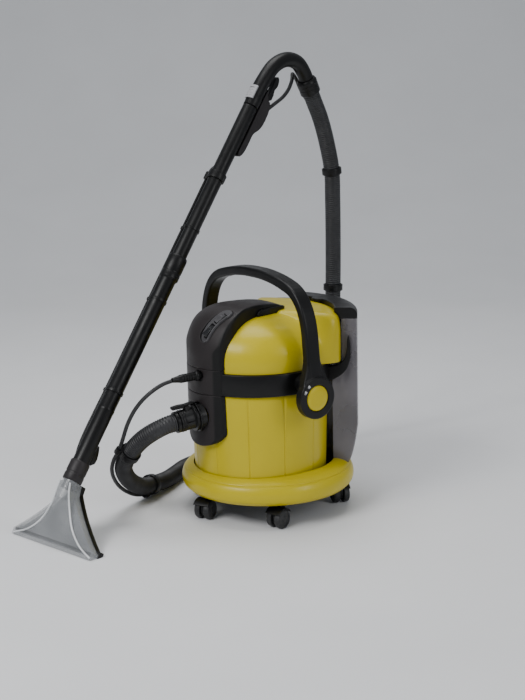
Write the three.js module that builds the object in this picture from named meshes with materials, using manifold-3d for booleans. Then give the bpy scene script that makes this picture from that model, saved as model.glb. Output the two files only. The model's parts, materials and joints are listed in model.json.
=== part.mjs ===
// Spray-extraction carpet cleaner. Millimetres, +Z up, floor at z = 0.
// The front (hose inlet, switches) faces -Y, the clean-water tank is at +Y,
// and the carrying handle turns about X.
import * as THREE from 'three';
import { mergeVertices } from 'three/addons/utils/BufferGeometryUtils.js';
import Module from 'manifold-3d';

const wasm = await Module();
wasm.setup();

// ---------- driving dimensions ----------
const GAP = 0.35; // between touching pieces
const ROUND = 32; // sides of the large round bodies
const SHIFT = [17.6, 78.2, 0]; // from the container's axis to the middle of the whole outline
const FLOOR = { wheelR: 19, wheelT: 13, trail: 14 };
const BASE = { r: 176, y: 18, bottom: 49, top: 101, hole: 136.6 };
const TUB = { rBottom: 134, rTop: 138.5, bottom: 57, top: 263, wall: 3 };
const BAND = { r: 144, bottom: 264, top: 307.5 };
const DOME = { r: 137, bottom: 308, wall: 3 };
const SPINE = { halfWidth: 60, frontY: -152, edgeY: -132, lowest: 156 };
const TANK = { halfAngle: 42, y: 20, r: 185, innerR: 149, upperInnerR: 168, bottom: 84, top: 390 };
const TANK_PIVOT_Y = 176;
const BAIL = { pivotZ: 264, top: 495, faceX: 193, thick: 17, width: 30, hubR: 41 };
const INLET = { at: [5, -149, 218], yaw: -10, pitch: 8 };
const BLOCK_TOP = 314;
const PLUG = { x: 12, z: 301 };
const WAND = { foot: [-60, -451], yaw: 11, tilt: 37.7, s: 54, z: 117, length: 858 };
const HOSE_R = 18;
const SPRAY_R = 4;
// Middle of each pair of wheels, and the way the pair is turned.
const CASTERS = [
  { at: [-4, -136], yaw: 205 },
  { at: [132, -56], yaw: 194 },
  { at: [90, 134], yaw: 250 },
  { at: [-90, 134], yaw: 110 },
  { at: [-132, -56], yaw: 166 },
];

// Centre line of the suction hose, from the inlet coupling to the cuff on the wand's elbow.
const SUCTION_ROUTE = [
  [-4.4, -202.3, 210.4], [-6.9, -216, 208.4], [-13, -229, 203], [-24, -241, 194], [-39, -252, 181],
  [-56, -260, 164], [-73, -265, 145], [-90, -266, 126], [-107, -261, 107], [-124, -248, 86],
  [-140, -229, 65], [-155, -205, 47], [-168, -180, 35], [-180, -155, 30.2], [-195, -125, 25],
  [-214, -92, 21], [-240, -54, 19], [-264, -16, 19], [-279, 30, 19], [-284, 85, 19],
  [-281, 145, 20], [-272, 205, 27], [-260, 260, 45], [-246, 305, 78], [-234, 338, 125],
  [-226, 357, 185], [-221, 367, 250], [-219, 370, 330], [-219.5, 373, 410], [-220.5, 375, 500],
  [-220.5, 375, 580], [-220, 373, 640], [-217.5, 359, 698.5], [-213.5, 338, 757],
  [-209.3, 316.8, 797], [-206, 300.1, 828.7],
];
// The spray hose leaves the plug, lies beside the suction hose, then crosses to the trigger.
const SPRAY_START = [
  [12, -216, 300], [9, -233, 296], [1, -251, 285], [-12, -267, 267], [-27, -278, 244],
  [-45, -284, 214], [-62, -286, 181],
];
// Its far end, in the wand's own frame: sideways, outwards, up.
const SPRAY_END = [
  [-27.5, 770, 822], [-28.5, 757, 845], [-21, 737, 857], [-9, 722, 846], [-3, 704, 827],
  [0, 682, 811.5], [0, 655, 798.6], [0, 625, 784.6], [0, 616, 780.4],
];
// Side on which it lies, by point of the suction hose's route.
const LIES_TOWARDS = [
  [6, [-0.1, -0.85, 0.5]], [9, [-0.45, -0.75, -0.45]], [11, [-0.5, -0.45, -0.75]],
  [13, [-0.4, -0.2, -0.9]], [16, [-0.8, -0.35, -0.62]], [20, [-0.8, 0, -0.6]],
  [23, [-0.9, 0.3, -0.2]], [26, [-1, 0.3, 0]], [33, [-1, 0.3, 0]],
];
const SPACING = 24;
const CLIP_POINTS = [6, 13, 27.6, 31];

// ---------- looks ----------
const paint = (color, roughness, extra = {}) =>
  new THREE.MeshStandardMaterial({ color, roughness, metalness: 0, ...extra });
const YELLOW = paint(0xe6d320, 0.35);
const BLACK = paint(0x17171a, 0.45);
const DARK = paint(0x3a3638, 0.55);
const RUBBER = paint(0x101012, 0.8);
const SMOKE = paint(0x6f6c70, 0.15, { transparent: true, opacity: 0.55 });
const CLEAR = paint(0xb9bcc0, 0.12, { transparent: true, opacity: 0.45 });
const GREY = paint(0x9a9a9c, 0.5);
const STEEL = paint(0x9c9fa3, 0.3, { metalness: 1 });
const WHITE = paint(0xe4e4e0, 0.5);

// ---------- solids ----------
const rad = THREE.MathUtils.degToRad;

function solid(geometry) {
  const bare = geometry.index ? geometry.toNonIndexed() : geometry.clone();
  bare.deleteAttribute('normal');
  bare.deleteAttribute('uv');
  const merged = mergeVertices(bare, 1e-3);
  const points = merged.attributes.position.array;
  const kept = [];
  let volume = 0;
  const corner = new THREE.Vector3();
  const other = new THREE.Vector3();
  const last = new THREE.Vector3();
  for (let i = 0; i < merged.index.count; i += 3) {
    const [a, b, c] = [0, 1, 2].map((k) => merged.index.getX(i + k));
    if (a === b || b === c || a === c) continue;
    kept.push(a, b, c);
    corner.fromArray(points, 3 * a);
    other.fromArray(points, 3 * b);
    last.fromArray(points, 3 * c);
    volume += corner.dot(other.cross(last));
  }
  if (volume < 0) kept.reverse();
  return new wasm.Manifold(
    new wasm.Mesh({
      numProp: 3,
      vertProperties: new Float32Array(points),
      triVerts: new Uint32Array(kept),
    }),
  );
}

const union = (...parts) => parts.reduce((whole, part) => whole.add(part));
const cut = (whole, ...tools) => tools.reduce((rest, tool) => rest.subtract(tool), whole);

function boxSolid(w, d, h, x, y, z) {
  return solid(new THREE.BoxGeometry(w, d, h).translate(x, y, z));
}

// A solid of revolution about Z, from [radius, height] points.
function lathe(profile, segments = ROUND, y = 0) {
  const points = profile.map(([r, z]) => new THREE.Vector2(r, z));
  const geometry = new THREE.LatheGeometry(points, segments);
  return solid(geometry.rotateX(Math.PI / 2).translate(0, y, 0));
}

const disc = (r, z0, z1, segments = ROUND, y = 0) =>
  lathe([[0, z0], [r, z0], [r, z1], [0, z1]], segments, y);

// A ring of revolution about Z.
const ring = (r0, r1, z0, z1, segments = ROUND) =>
  lathe([[r0, z0], [r1, z0], [r1, z1], [r0, z1], [r0, z0]], segments);

// An outline in X and Y carried up from z0 to z1.
function slab(shape, z0, z1, curveSegments = 10) {
  const settings = { depth: z1 - z0, bevelEnabled: false, curveSegments };
  return solid(new THREE.ExtrudeGeometry(shape, settings).translate(0, 0, z0));
}

// An outline drawn in Y and Z, carried across X.
function acrossX(shape, x0, x1, curveSegments = 10) {
  const geometry = new THREE.ExtrudeGeometry(shape, {
    depth: x1 - x0, bevelEnabled: false, curveSegments,
  });
  const turn = new THREE.Matrix4().set(0, 0, 1, x0, 1, 0, 0, 0, 0, 1, 0, 0, 0, 0, 0, 1);
  return solid(geometry.applyMatrix4(turn));
}

// An outline drawn in X and Z, carried along Y.
function alongY(shape, y0, y1, curveSegments = 10) {
  const geometry = new THREE.ExtrudeGeometry(shape, {
    depth: y1 - y0, bevelEnabled: false, curveSegments,
  });
  return solid(geometry.rotateX(Math.PI / 2).translate(0, y1, 0));
}

function shapeOf(points) {
  return new THREE.Shape(points.map(([x, y]) => new THREE.Vector2(x, y)));
}

function smoothShape(points, divisions) {
  const curve = new THREE.CatmullRomCurve3(
    points.map(([x, y]) => new THREE.Vector3(x, y, 0)), true, 'centripetal');
  return shapeOf(curve.getPoints(divisions).slice(0, -1).map((p) => [p.x, p.y]));
}

function roundRect(w, h, r, x = 0, y = 0) {
  const shape = new THREE.Shape();
  const [a, b] = [w / 2, h / 2];
  shape.moveTo(x - a + r, y - b);
  shape.absarc(x + a - r, y - b + r, r, -Math.PI / 2, 0);
  shape.absarc(x + a - r, y + b - r, r, 0, Math.PI / 2);
  shape.absarc(x - a + r, y + b - r, r, Math.PI / 2, Math.PI);
  shape.absarc(x - a + r, y - b + r, r, Math.PI, 1.5 * Math.PI);
  return shape;
}

function circle(r, x = 0, y = 0) {
  return new THREE.Shape().absarc(x, y, r, 0, 2 * Math.PI);
}

// A round rod or hose along a smooth line through the points.
function rod(points, r, sides, steps) {
  const path = new THREE.CatmullRomCurve3(
    points.map((p) => new THREE.Vector3(...p)), false, 'centripetal');
  const section = shapeOf(
    Array.from({ length: sides }, (_, i) => {
      const turn = (2 * Math.PI * i) / sides;
      return [r * Math.cos(turn), r * Math.sin(turn)];
    }),
  );
  return new THREE.ExtrudeGeometry(section, {
    steps, bevelEnabled: false, extrudePath: path,
  });
}

// A cylinder between two points.
function bar(from, to, r, segments = 16) {
  const a = new THREE.Vector3(...from);
  const b = new THREE.Vector3(...to);
  const geometry = new THREE.CylinderGeometry(r, r, a.distanceTo(b), segments);
  const turn = new THREE.Quaternion().setFromUnitVectors(
    new THREE.Vector3(0, 1, 0), b.clone().sub(a).normalize());
  const middle = a.add(b).multiplyScalar(0.5);
  return solid(geometry.applyQuaternion(turn).translate(...middle.toArray()));
}

const moved = (body, matrix) => body.transform(matrix.elements.slice());

function part(name, body, material) {
  let geometry = body;
  if (!body.isBufferGeometry) {
    const { vertProperties, triVerts } = body.getMesh();
    geometry = new THREE.BufferGeometry();
    geometry.setAttribute('position', new THREE.BufferAttribute(vertProperties, 3));
    geometry.setIndex(new THREE.BufferAttribute(triVerts, 1));
  }
  const mesh = new THREE.Mesh(geometry, material);
  mesh.name = name;
  return mesh;
}

const model = new THREE.Group();
model.position.set(...SHIFT);
const add = (...meshes) => model.add(...meshes);

// ---------- base and casters ----------
// Outline of the tank seen from above, cut from the space above the base.
function tankWedge(z0, z1, spread = 0) {
  const reach = 260;
  const half = rad(TANK.halfAngle) + spread / 180;
  const shape = shapeOf([
    [0, 0], [reach * Math.sin(half), reach * Math.cos(half)],
    [0, reach * 1.4], [-reach * Math.sin(half), reach * Math.cos(half)],
  ]);
  return slab(shape, z0, z1);
}

// The tank's outside, grown by a margin: rounded foot, straight wall.
function tankBody(grow, z1) {
  const { r, y, bottom } = TANK;
  const outside = lathe([
    [0, bottom - grow], [159 + grow, bottom - grow], [168 + grow, bottom + 13 - grow],
    [177 + grow, bottom + 40 - grow], [r + grow, bottom + 86 - grow], [r + grow, z1], [0, z1],
  ], ROUND, y);
  const wedge = tankWedge(bottom - 20, z1 + 20, grow);
  return outside.intersect(wedge).subtract(disc(TANK.innerR - grow, bottom - 30, z1 + 30));
}

function baseSkirt() {
  const { r, y, bottom, top } = BASE;
  const outer = [
    [166, bottom], [173.5, 57], [r, 70], [174, 80], [168, 89.5], [158, 96.5],
    [145, 100.3], [128, top], [108, top],
  ];
  const inner = [
    [108, top - 3], [128, top - 3], [144, 97.3], [156.5, 93.7], [166, 87.4], [171.2, 79],
    [173, 70], [170.6, 58.5], [162.5, bottom],
  ];
  const shell = lathe([...outer, ...inner, outer[0]], ROUND, y);
  return cut(shell, disc(BASE.hole, 40, 120), tankSeat());
}

// Room for the tank's foot, upright and tipped back for lifting out.
function tankSeat() {
  const poses = [0, 6, 12].map((degrees) => {
    const matrix = new THREE.Matrix4().makeTranslation(0, TANK_PIVOT_Y, TANK.bottom);
    matrix.multiply(new THREE.Matrix4().makeRotationX(-rad(degrees)));
    matrix.multiply(new THREE.Matrix4().makeTranslation(0, -TANK_PIVOT_Y, -TANK.bottom));
    return moved(tankBody(1.2, 140), matrix);
  });
  return union(...poses);
}

// The chassis plate under the skirt, with a raised seat for the tank.
function basePan() {
  const plate = disc(162, 50.5, 54.5, ROUND, BASE.y);
  const wall = cut(disc(162, 54, 75, ROUND, BASE.y), disc(156, 54, 80, ROUND, BASE.y));
  const ledge = disc(156, 77, 83.4, ROUND, BASE.y)
    .intersect(tankWedge(60, 90, -4))
    .subtract(disc(146, 50, 100));
  const struts = [-1, 1].map((side) => boxSolid(6, 20, 26, side * 60, 158, 66));
  const stems = CASTERS.map((it) => bar([...stemAt(it), 40], [...stemAt(it), 52.6], 5.6, 12));
  return cut(union(plate, wall, ledge, ...struts), ...stems);
}

function stemAt({ at, yaw }) {
  return [at[0] + FLOOR.trail * Math.sin(rad(yaw)), at[1] - FLOOR.trail * Math.cos(rad(yaw))];
}

// Twin-wheel caster. The stem turns in the base; both wheels share one axle.
function caster(index) {
  const { yaw } = CASTERS[index];
  const { wheelR, wheelT, trail } = FLOOR;
  const group = new THREE.Group();
  group.position.set(...stemAt(CASTERS[index]), 0);
  group.rotation.z = rad(yaw);
  const wheelX = 4;
  const edge = 2.5;
  const wheel = (side) => {
    const profile = [
      [0, 0], [wheelR, 0], [wheelR, wheelT - edge], [wheelR - edge, wheelT], [0, wheelT],
    ].map(([r, z]) => new THREE.Vector2(r, z));
    const geometry = new THREE.LatheGeometry(profile, 16).rotateZ((-side * Math.PI) / 2);
    return solid(geometry.translate(side * wheelX, 0, 0));
  };
  const axle = bar([-wheelX - 2, 0, 0], [wheelX + 2, 0, 0], 3, 8);
  const wheels = part(`caster_wheels_${index + 1}`, union(wheel(1), wheel(-1), axle), RUBBER);
  wheels.position.set(0, trail, wheelR);
  const fin = acrossX(shapeOf([
    [-4, 28], [2, 14], [trail - 5, 6], [trail + 5, 6], [trail + 13, 14], [trail + 14, 26],
    [trail + 8, 37], [6, 45.5], [-4, 45.5],
  ]), -3, 3);
  const hoodHalf = wheelX + wheelT + 2;
  const hoodOuter = acrossX(circle(wheelR + 5, trail, wheelR), -hoodHalf, hoodHalf, 12);
  const hoodInner = acrossX(circle(wheelR + 2, trail, wheelR), -99, 99, 12);
  const keep = boxSolid(99, 60, 22, 0, trail + 8, 38);
  const hood = hoodOuter.subtract(hoodInner).intersect(keep);
  const stem = union(bar([0, 0, 41.5], [0, 0, 50], 8, 8), bar([0, 0, 44], [0, 0, 52.2], 5, 8));
  const bridge = boxSolid(9, 12, 5, 0, 4, 43.2);
  const bore = bar([-9, trail, wheelR], [9, trail, wheelR], 3.5, 8);
  const yoke = union(fin, stem, hood, bridge).subtract(bore);
  group.add(part(`caster_yoke_${index + 1}`, yoke, BLACK), wheels);
  return group;
}

// ---------- dirty-water container ----------
function container() {
  const { rBottom, rTop, bottom, top, wall } = TUB;
  return lathe([
    [0, bottom], [rBottom - 6, bottom], [rBottom - 2, bottom + 5], [rBottom, 100],
    [rTop, top], [rTop - wall, top], [rBottom - wall, 100],
    [rBottom - 7, bottom + wall], [0, bottom + wall],
  ]);
}

// ---------- head ----------
const DOME_PROFILE = [
  [DOME.r, DOME.bottom], [DOME.r, 334], [133, 352], [121, 372], [100, 389], [72, 400], [36, 406],
  [0, 407],
];
// The same rows behind, where the cover widens into the shoulder that the tank leans on.
const SHOULDER_R = TANK.upperInnerR - 1.6;
const SHOULDER_PROFILE = [
  [SHOULDER_R, DOME.bottom], [SHOULDER_R, 350], [SHOULDER_R - 1, 378], [SHOULDER_R - 6, 397],
  [147, 405], [110, 409], [60, 410], [0, 407],
];
const SHOULDER_ANGLE = [50, 64];

// The cover's outside, grown by a margin, standing on the level z0.
function coverSolid(grow, z0) {
  const rows = DOME_PROFILE.map(([r, z]) => new THREE.Vector2(r, z));
  const geometry = new THREE.LatheGeometry([new THREE.Vector2(0, z0), ...rows], ROUND);
  geometry.rotateX(Math.PI / 2);
  const position = geometry.attributes.position;
  const perSide = rows.length + 1;
  for (let i = 0; i < position.count; i += 1) {
    const row = (i % perSide) - 1;
    if (row < 0) continue;
    const turn = Math.floor(i / perSide) * ((2 * Math.PI) / ROUND);
    const [sx, sy] = [Math.sin(turn), -Math.cos(turn)];
    const fromRear = THREE.MathUtils.radToDeg(Math.acos(THREE.MathUtils.clamp(sy, -1, 1)));
    const share = 1 - THREE.MathUtils.smoothstep(fromRear, ...SHOULDER_ANGLE);
    const [dome, rear] = [DOME_PROFILE[row], SHOULDER_PROFILE[row]];
    const r = THREE.MathUtils.lerp(dome[0], rear[0], share) + (row < 7 ? grow : 0);
    const z = THREE.MathUtils.lerp(dome[1], rear[1], share) + (row > 1 ? grow : 0);
    position.setXYZ(i, r * sx, r * sy, row === 0 ? z0 : z);
  }
  return solid(geometry);
}

const domeCover = () => coverSolid(0, DOME.bottom).subtract(coverSolid(-DOME.wall, 300));

// Side view of the dark spine that arches from the inlet over the dome.
const SPINE_TOP = [
  [-152.5, BLOCK_TOP + GAP], [-152.5, 362], [-149.5, 380], [-141, 395], [-126, 408],
  [-104, 418.5], [-74, 425.5],
  [-38, 428.5], [0, 427], [20, 421.5], [31, 413],
];

function spineSide(grow) {
  const top = SPINE_TOP.map(([y, z], i) => {
    const slope = i < 3 ? [-1, 0.1] : i < 5 ? [-0.75, 0.65] : i < 8 ? [-0.2, 1] : [0.3, 0.95];
    return [y + grow * slope[0], z + grow * slope[1]];
  });
  return shapeOf([...top, [33, 401], [22, 397], [-60, 350], [-60, BLOCK_TOP + GAP]]);
}

// Front corner of the spine, rounded off towards both sides.
function spineCrown(grow = 0) {
  const [half, drop, height] = [80, 21, 378.5];
  const points = [];
  for (let x = -half; x <= half; x += 16) {
    points.push([x, height + grow - drop * (x / SPINE.halfWidth) ** 2]);
  }
  const shape = shapeOf([[-half, 100], ...points, [half, 100]].reverse());
  const tilt = new THREE.Matrix4().makeBasis(
    new THREE.Vector3(1, 0, 0),
    new THREE.Vector3(0, -Math.SQRT1_2, Math.SQRT1_2),
    new THREE.Vector3(0, -Math.SQRT1_2, -Math.SQRT1_2),
  );
  return moved(slab(shape, -600, 100), tilt);
}

// Plan view: a convex front, narrowing towards the nose.
function spinePlan(grow = 0) {
  const w = SPINE.halfWidth + grow;
  const shape = new THREE.Shape();
  const { frontY, edgeY } = SPINE;
  const sagitta = edgeY - frontY;
  const r = (w * w + sagitta * sagitta) / (2 * sagitta);
  const half = Math.asin(w / r);
  shape.absarc(0, frontY - grow + r, r, -Math.PI / 2 - half, -Math.PI / 2 + half);
  shape.lineTo(w, -104);
  shape.bezierCurveTo(w - 4, -84, 44 + grow, -62, 40 + grow, -30);
  shape.lineTo(35 + grow, 40);
  shape.lineTo(-35 - grow, 40);
  shape.lineTo(-40 - grow, -30);
  shape.bezierCurveTo(-44 - grow, -62, 4 - w, -84, -w, -104);
  return shape;
}

const PANEL = { x: 27, y: -123, z: 405.5, slant: 14, length: 82, width: 27 };
const ROCKER_OFFSET = 3;
const ROCKERS = [
  { name: 'vacuum_switch', along: -17, length: 27, width: 13 },
  { name: 'pump_switch', along: 15, length: 22, width: 13 },
];

// Local frame of the switch panel: Z leaves the surface, Y climbs it.
function panelMatrix() {
  const matrix = new THREE.Matrix4().makeTranslation(PANEL.x, PANEL.y, PANEL.z - 3);
  matrix.multiply(new THREE.Matrix4().makeRotationX(rad(45)));
  return matrix.multiply(new THREE.Matrix4().makeRotationZ(rad(-PANEL.slant)));
}

function onPanel(shape, z0, z1) {
  const geometry = new THREE.ExtrudeGeometry(shape, {
    depth: z1 - z0, bevelEnabled: false, curveSegments: 8,
  });
  return solid(geometry.translate(0, 0, z0).applyMatrix4(panelMatrix()));
}

const rockerDip = (along) => -(along * along) / 150;

function rockerPocket(rocker) {
  const { along, length, width } = rocker;
  const dip = rockerDip(along);
  const shape = shapeOf([[-1, -1], [1, -1], [1, 1], [-1, 1]].map(([x, y]) => [
    ROCKER_OFFSET + x * (width / 2 + 1), along + y * (length / 2 + 2)]));
  return onPanel(shape, dip - 9, dip + 30);
}

function spineBlank(grow) {
  const side = acrossX(spineSide(grow), -70, 70);
  return side.intersect(slab(spinePlan(grow), 300, 440, 7)).intersect(spineCrown(grow));
}

function spineUpper() {
  const bed = ovalPlate(GAP, -4 - GAP, 30);
  return cut(spineBlank(0), coverSolid(GAP, 280), bed, ...ROCKERS.map(rockerPocket));
}

// A curved oval plate that follows the spine, grown by a margin.
function ovalPlate(grow, low, high) {
  const { width, length } = PANEL;
  const steps = [-1, -0.6, -0.2, 0.2, 0.6, 1].map((share) => share * (length / 2 + 4));
  const lower = steps.map((along) => [along, rockerDip(along) + low]);
  const upper = steps.map((along) => [along, rockerDip(along) + high]);
  const arc = acrossX(shapeOf([...lower, ...upper.reverse()]), -30, 30);
  const reach = width / 2 + grow;
  const oval = slab(roundRect(2 * reach, length + 2 * grow, reach - 0.1), -60, 60, 5);
  return moved(arc.intersect(oval), panelMatrix());
}

const switchPanel = () => cut(ovalPlate(0, -4, 2), ...ROCKERS.map(rockerPocket));

function rockerSwitch({ name, along, length, width }) {
  const shape = shapeOf([
    [along - length / 2, -5], [along + length / 2, -5], [along + length / 2, 2.6],
    [along + length / 6, 3.8], [along - length / 6, 3.2], [along - length / 2, 5],
  ]);
  const turned = acrossX(shape, ROCKER_OFFSET - width / 2, ROCKER_OFFSET + width / 2);
  const { vertProperties, triVerts } = turned.getMesh();
  const geometry = new THREE.BufferGeometry();
  geometry.setAttribute('position', new THREE.BufferAttribute(vertProperties, 3));
  geometry.setIndex(new THREE.BufferAttribute(triVerts, 1));
  geometry.translate(0, 0, rockerDip(along)).applyMatrix4(panelMatrix());
  return part(name, geometry, BLACK);
}

// Black frame of the head: proud ring, motor deck, and the spine's middle block.
function headFrame() {
  const { r, bottom, top } = BAND;
  const deck = lathe([
    [20, 284], [126, 284], [126, bottom], [r - 1.5, bottom], [r, bottom + 2], [r, top - 2],
    [r - 1.5, top], [126, top], [126, 288], [20, 288], [20, 284],
  ]);
  const block = slab(spinePlan(), bottom, BLOCK_TOP, 7)
    .intersect(boxSolid(130, 50, 60, 0, -137, 286));
  const socket = bar([PLUG.x, -148, PLUG.z], [PLUG.x, -170, PLUG.z], 10.8, 12);
  const hole = bar([PLUG.x, -141, PLUG.z], [PLUG.x, -190, PLUG.z], 7.4, 12);
  const sides = [-1, 1].flatMap((side) => [pivotPin(side), tankGuide(side)]);
  const cover = coverSolid(GAP, DOME.bottom - GAP);
  return cut(union(deck, block, ...sides), hole, socket, cover);
}

// The lower spine widens towards the container.
function lowerPlan() {
  const [w, y] = [SPINE.halfWidth, SPINE.edgeY];
  return shapeOf([[-w, y], [w, y], [w + 9, -90], [-w - 9, -90]]);
}

function spineLower() {
  const { halfWidth: w, lowest } = SPINE;
  const wide = w + 8;
  const outline = new THREE.Shape();
  outline.moveTo(-wide, BAND.bottom - GAP);
  outline.lineTo(-wide, lowest + 50);
  outline.absellipse(0, lowest + 50, wide, 50, Math.PI, 2 * Math.PI);
  outline.lineTo(wide, BAND.bottom - GAP);
  const front = alongY(outline, -170, -60, 20);
  const plan = union(slab(spinePlan(), 140, 270, 7), slab(lowerPlan(), 140, 270));
  const blank = front.intersect(plan);
  const tub = lathe([[0, 90], [TUB.rBottom + 0.5, 90], [TUB.rTop + 0.5, 264], [0, 264]]);
  return cut(blank, tub, atInlet(union(tubeY(0, 27, 30, -30), tubeY(0, 31, -4.4, -30))));
}

// ---------- hose inlet ----------
// Pieces of the inlet are drawn along -Y from the origin, then put in place.
function atInlet(body) {
  const matrix = new THREE.Matrix4().makeTranslation(...INLET.at);
  matrix.multiply(new THREE.Matrix4().makeRotationZ(rad(INLET.yaw)));
  return moved(body, matrix.multiply(new THREE.Matrix4().makeRotationX(rad(INLET.pitch))));
}

// A tube along Y from y0 to y1.
function tubeY(r0, r1, y0, y1, segments = 20) {
  const body = r0 > 0
    ? ring(r0, r1, 0, y0 - y1, segments)
    : disc(r1, 0, y0 - y1, segments);
  return moved(body, new THREE.Matrix4().set(1, 0, 0, 0, 0, 0, -1, y0, 0, 1, 0, 0, 0, 0, 0, 1));
}

function hoseSocket() {
  const sleeve = tubeY(22.5, 26.6, 6, -9);
  const rim = tubeY(22.5, 30.5, -5, -9.5);
  const notch = boxSolid(14, 30, 12, 0, 0, 29);
  return atInlet(union(sleeve, rim).subtract(notch));
}

function hoseCoupling() {
  const spigot = tubeY(17.5, 22, 4, -14);
  const flange = tubeY(17.5, 28, -10, -16);
  const body = tubeY(17.5, 21.5, -15, -53.5);
  const lug = boxSolid(16, 9, 9, 0, -25, 23);
  const slot = boxSolid(10.8, 20, 12, 0, -27, 28.6);
  return atInlet(union(spigot, flange, body, lug).subtract(slot));
}

function couplingLatch() {
  const shape = shapeOf([
    [-21, 23.6], [-29, 23.6], [-38, 25.4], [-55, 26.4], [-57, 29], [-56, 33], [-42, 33.5],
    [-28, 32], [-12, 33], [-9, 29.2], [-21, 28.6],
  ]);
  return atInlet(acrossX(shape, -5, 5));
}

function sprayPlug() {
  const { x, z } = PLUG;
  const nose = bar([x, -142, z], [x, -158, z], 6.6, 10);
  const collar = bar([x, -154.6, z], [x, -162, z], 10, 12);
  const grip = bar([x, -161, z], [x, -196, z], 8.4, 12);
  const flats = [-1, 1].map((side) => boxSolid(5, 30, 17, x + side * 8.6, -176, z));
  const boot = moved(
    lathe([[0, 0], [7, 0], [4.8, 19], [0, 19]], 12),
    new THREE.Matrix4().set(1, 0, 0, x, 0, 0, -1, -195.5, 0, 1, 0, z, 0, 0, 0, 1));
  return union(nose, collar, grip, ...flats, boot);
}

const vector = (p) => new THREE.Vector3(...p);
const suctionCurve = new THREE.CatmullRomCurve3(SUCTION_ROUTE.map(vector), false, 'centripetal');

// Frame at one point of the suction hose: along it, and towards the spray hose.
function hoseFrame(index) {
  const share = index / (SUCTION_ROUTE.length - 1);
  const along = suctionCurve.getTangent(share);
  const after = Math.max(1, LIES_TOWARDS.findIndex(([at]) => at >= index));
  const [[from, side], [to, next]] = LIES_TOWARDS.slice(after - 1, after + 1);
  const across = vector(side).lerp(vector(next), (index - from) / (to - from));
  across.addScaledVector(along, -across.dot(along)).normalize();
  return { at: suctionCurve.getPoint(share), along, across };
}

function sprayRoute() {
  const beside = [];
  for (let index = 6; index <= 33; index += 1) {
    const { at, across } = hoseFrame(index);
    beside.push(at.addScaledVector(across, SPACING).toArray());
  }
  const end = SPRAY_END.map((p) => vector(p).applyMatrix4(wand.matrix).toArray());
  return [...SPRAY_START, ...beside, ...end];
}

// A double clip that holds both hoses.
function hoseClip(name, index) {
  const { at, along, across } = hoseFrame(index);
  const body = union(
    slab(circle(HOSE_R + 4), -7, 7, 12), slab(circle(SPRAY_R + 3.6, SPACING, 0), -7, 7, 8));
  const holes = union(
    slab(circle(HOSE_R + 1.5), -20, 20, 12), slab(circle(SPRAY_R + 1.8, SPACING, 0), -20, 20, 8));
  const basis = new THREE.Matrix4().makeBasis(
    across, new THREE.Vector3().crossVectors(along, across), along);
  return part(name, moved(body.subtract(holes), basis.setPosition(at)), BLACK);
}

// ---------- clean-water tank ----------
const VALVE_Y = 160;

function waterTank() {
  const { r, y, top, bottom, innerR, upperInnerR } = TANK;
  const wall = 2.5;
  const step = cut(disc(upperInnerR, 301, 500), disc(20, 290, 510));
  const outside = tankBody(0, top).subtract(step);
  const inside = lathe([
    [0, bottom + wall], [157.6, bottom + wall], [165.8, bottom + 14], [174.6, bottom + 40.5],
    [r - wall, bottom + 86], [r - wall, top + 20], [0, top + 20],
  ], ROUND, y);
  const narrow = tankWedge(bottom, top + 30, -3.2);
  const hollow = inside.intersect(narrow).subtract(disc(innerR + wall, 60, 303))
    .subtract(disc(upperInnerR + wall, 297.5, 520));
  return cut(outside, hollow, bar([0, VALVE_Y, 60], [0, VALVE_Y, 90], 5.8, 10));
}

function tankLid() {
  const { r, y, top } = TANK;
  const shell = lathe([
    [0, top + 0.5], [r, top + 0.5], [r, top + 11], [r - 5, top + 19], [r - 15, top + 23],
    [0, top + 23],
  ], ROUND, y);
  const cap = shell.intersect(slab(lidPlan(), 380, 430, 12));
  const tab = slab(circle(17, 0, 160), top + 16, top + 23, 14);
  // Its far side is a low, flat flange.
  const turn = (degrees) => [-320 * Math.sin(rad(degrees)), 320 * Math.cos(rad(degrees))];
  const low = slab(shapeOf([[0, 0], turn(21), turn(65)]), top + 5.5, top + 40);
  return cut(union(cap, tab), coverSolid(0.6, 300), low);
}

// Plan of the lid: the tank's width, reaching forward over the shoulder.
const LID_FRONT = 154;

function lidPlan() {
  const half = rad(TANK.halfAngle);
  const reach = 240;
  const shape = new THREE.Shape();
  const [sx, sy] = [Math.sin(half), Math.cos(half)];
  shape.moveTo(reach * sx, reach * sy);
  shape.lineTo(0, reach * 1.4);
  shape.lineTo(-reach * sx, reach * sy);
  shape.lineTo(-LID_FRONT * sx, LID_FRONT * sy);
  shape.absarc(0, 0, LID_FRONT, Math.PI / 2 + half, Math.PI / 2 - half, true);
  return shape;
}

function tankGuide(side) {
  const turn = TANK.halfAngle + 0.9;
  const face = [
    [139, 266], [162, 274], [178, 289], [185, 308], [186.5, 334], [185, 350], [182.5, 358],
    [180, 350], [179, 330], [174, 311], [161, 299], [139, 292],
  ];
  const shape = smoothShape(face, 32);
  const blade = alongY(shape, -9, -1.2, 1);
  const matrix = new THREE.Matrix4().makeRotationZ(rad(90 - turn));
  const placed = moved(blade, matrix);
  return side > 0 ? placed : moved(placed, new THREE.Matrix4().makeScale(-1, 1, 1));
}

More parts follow.
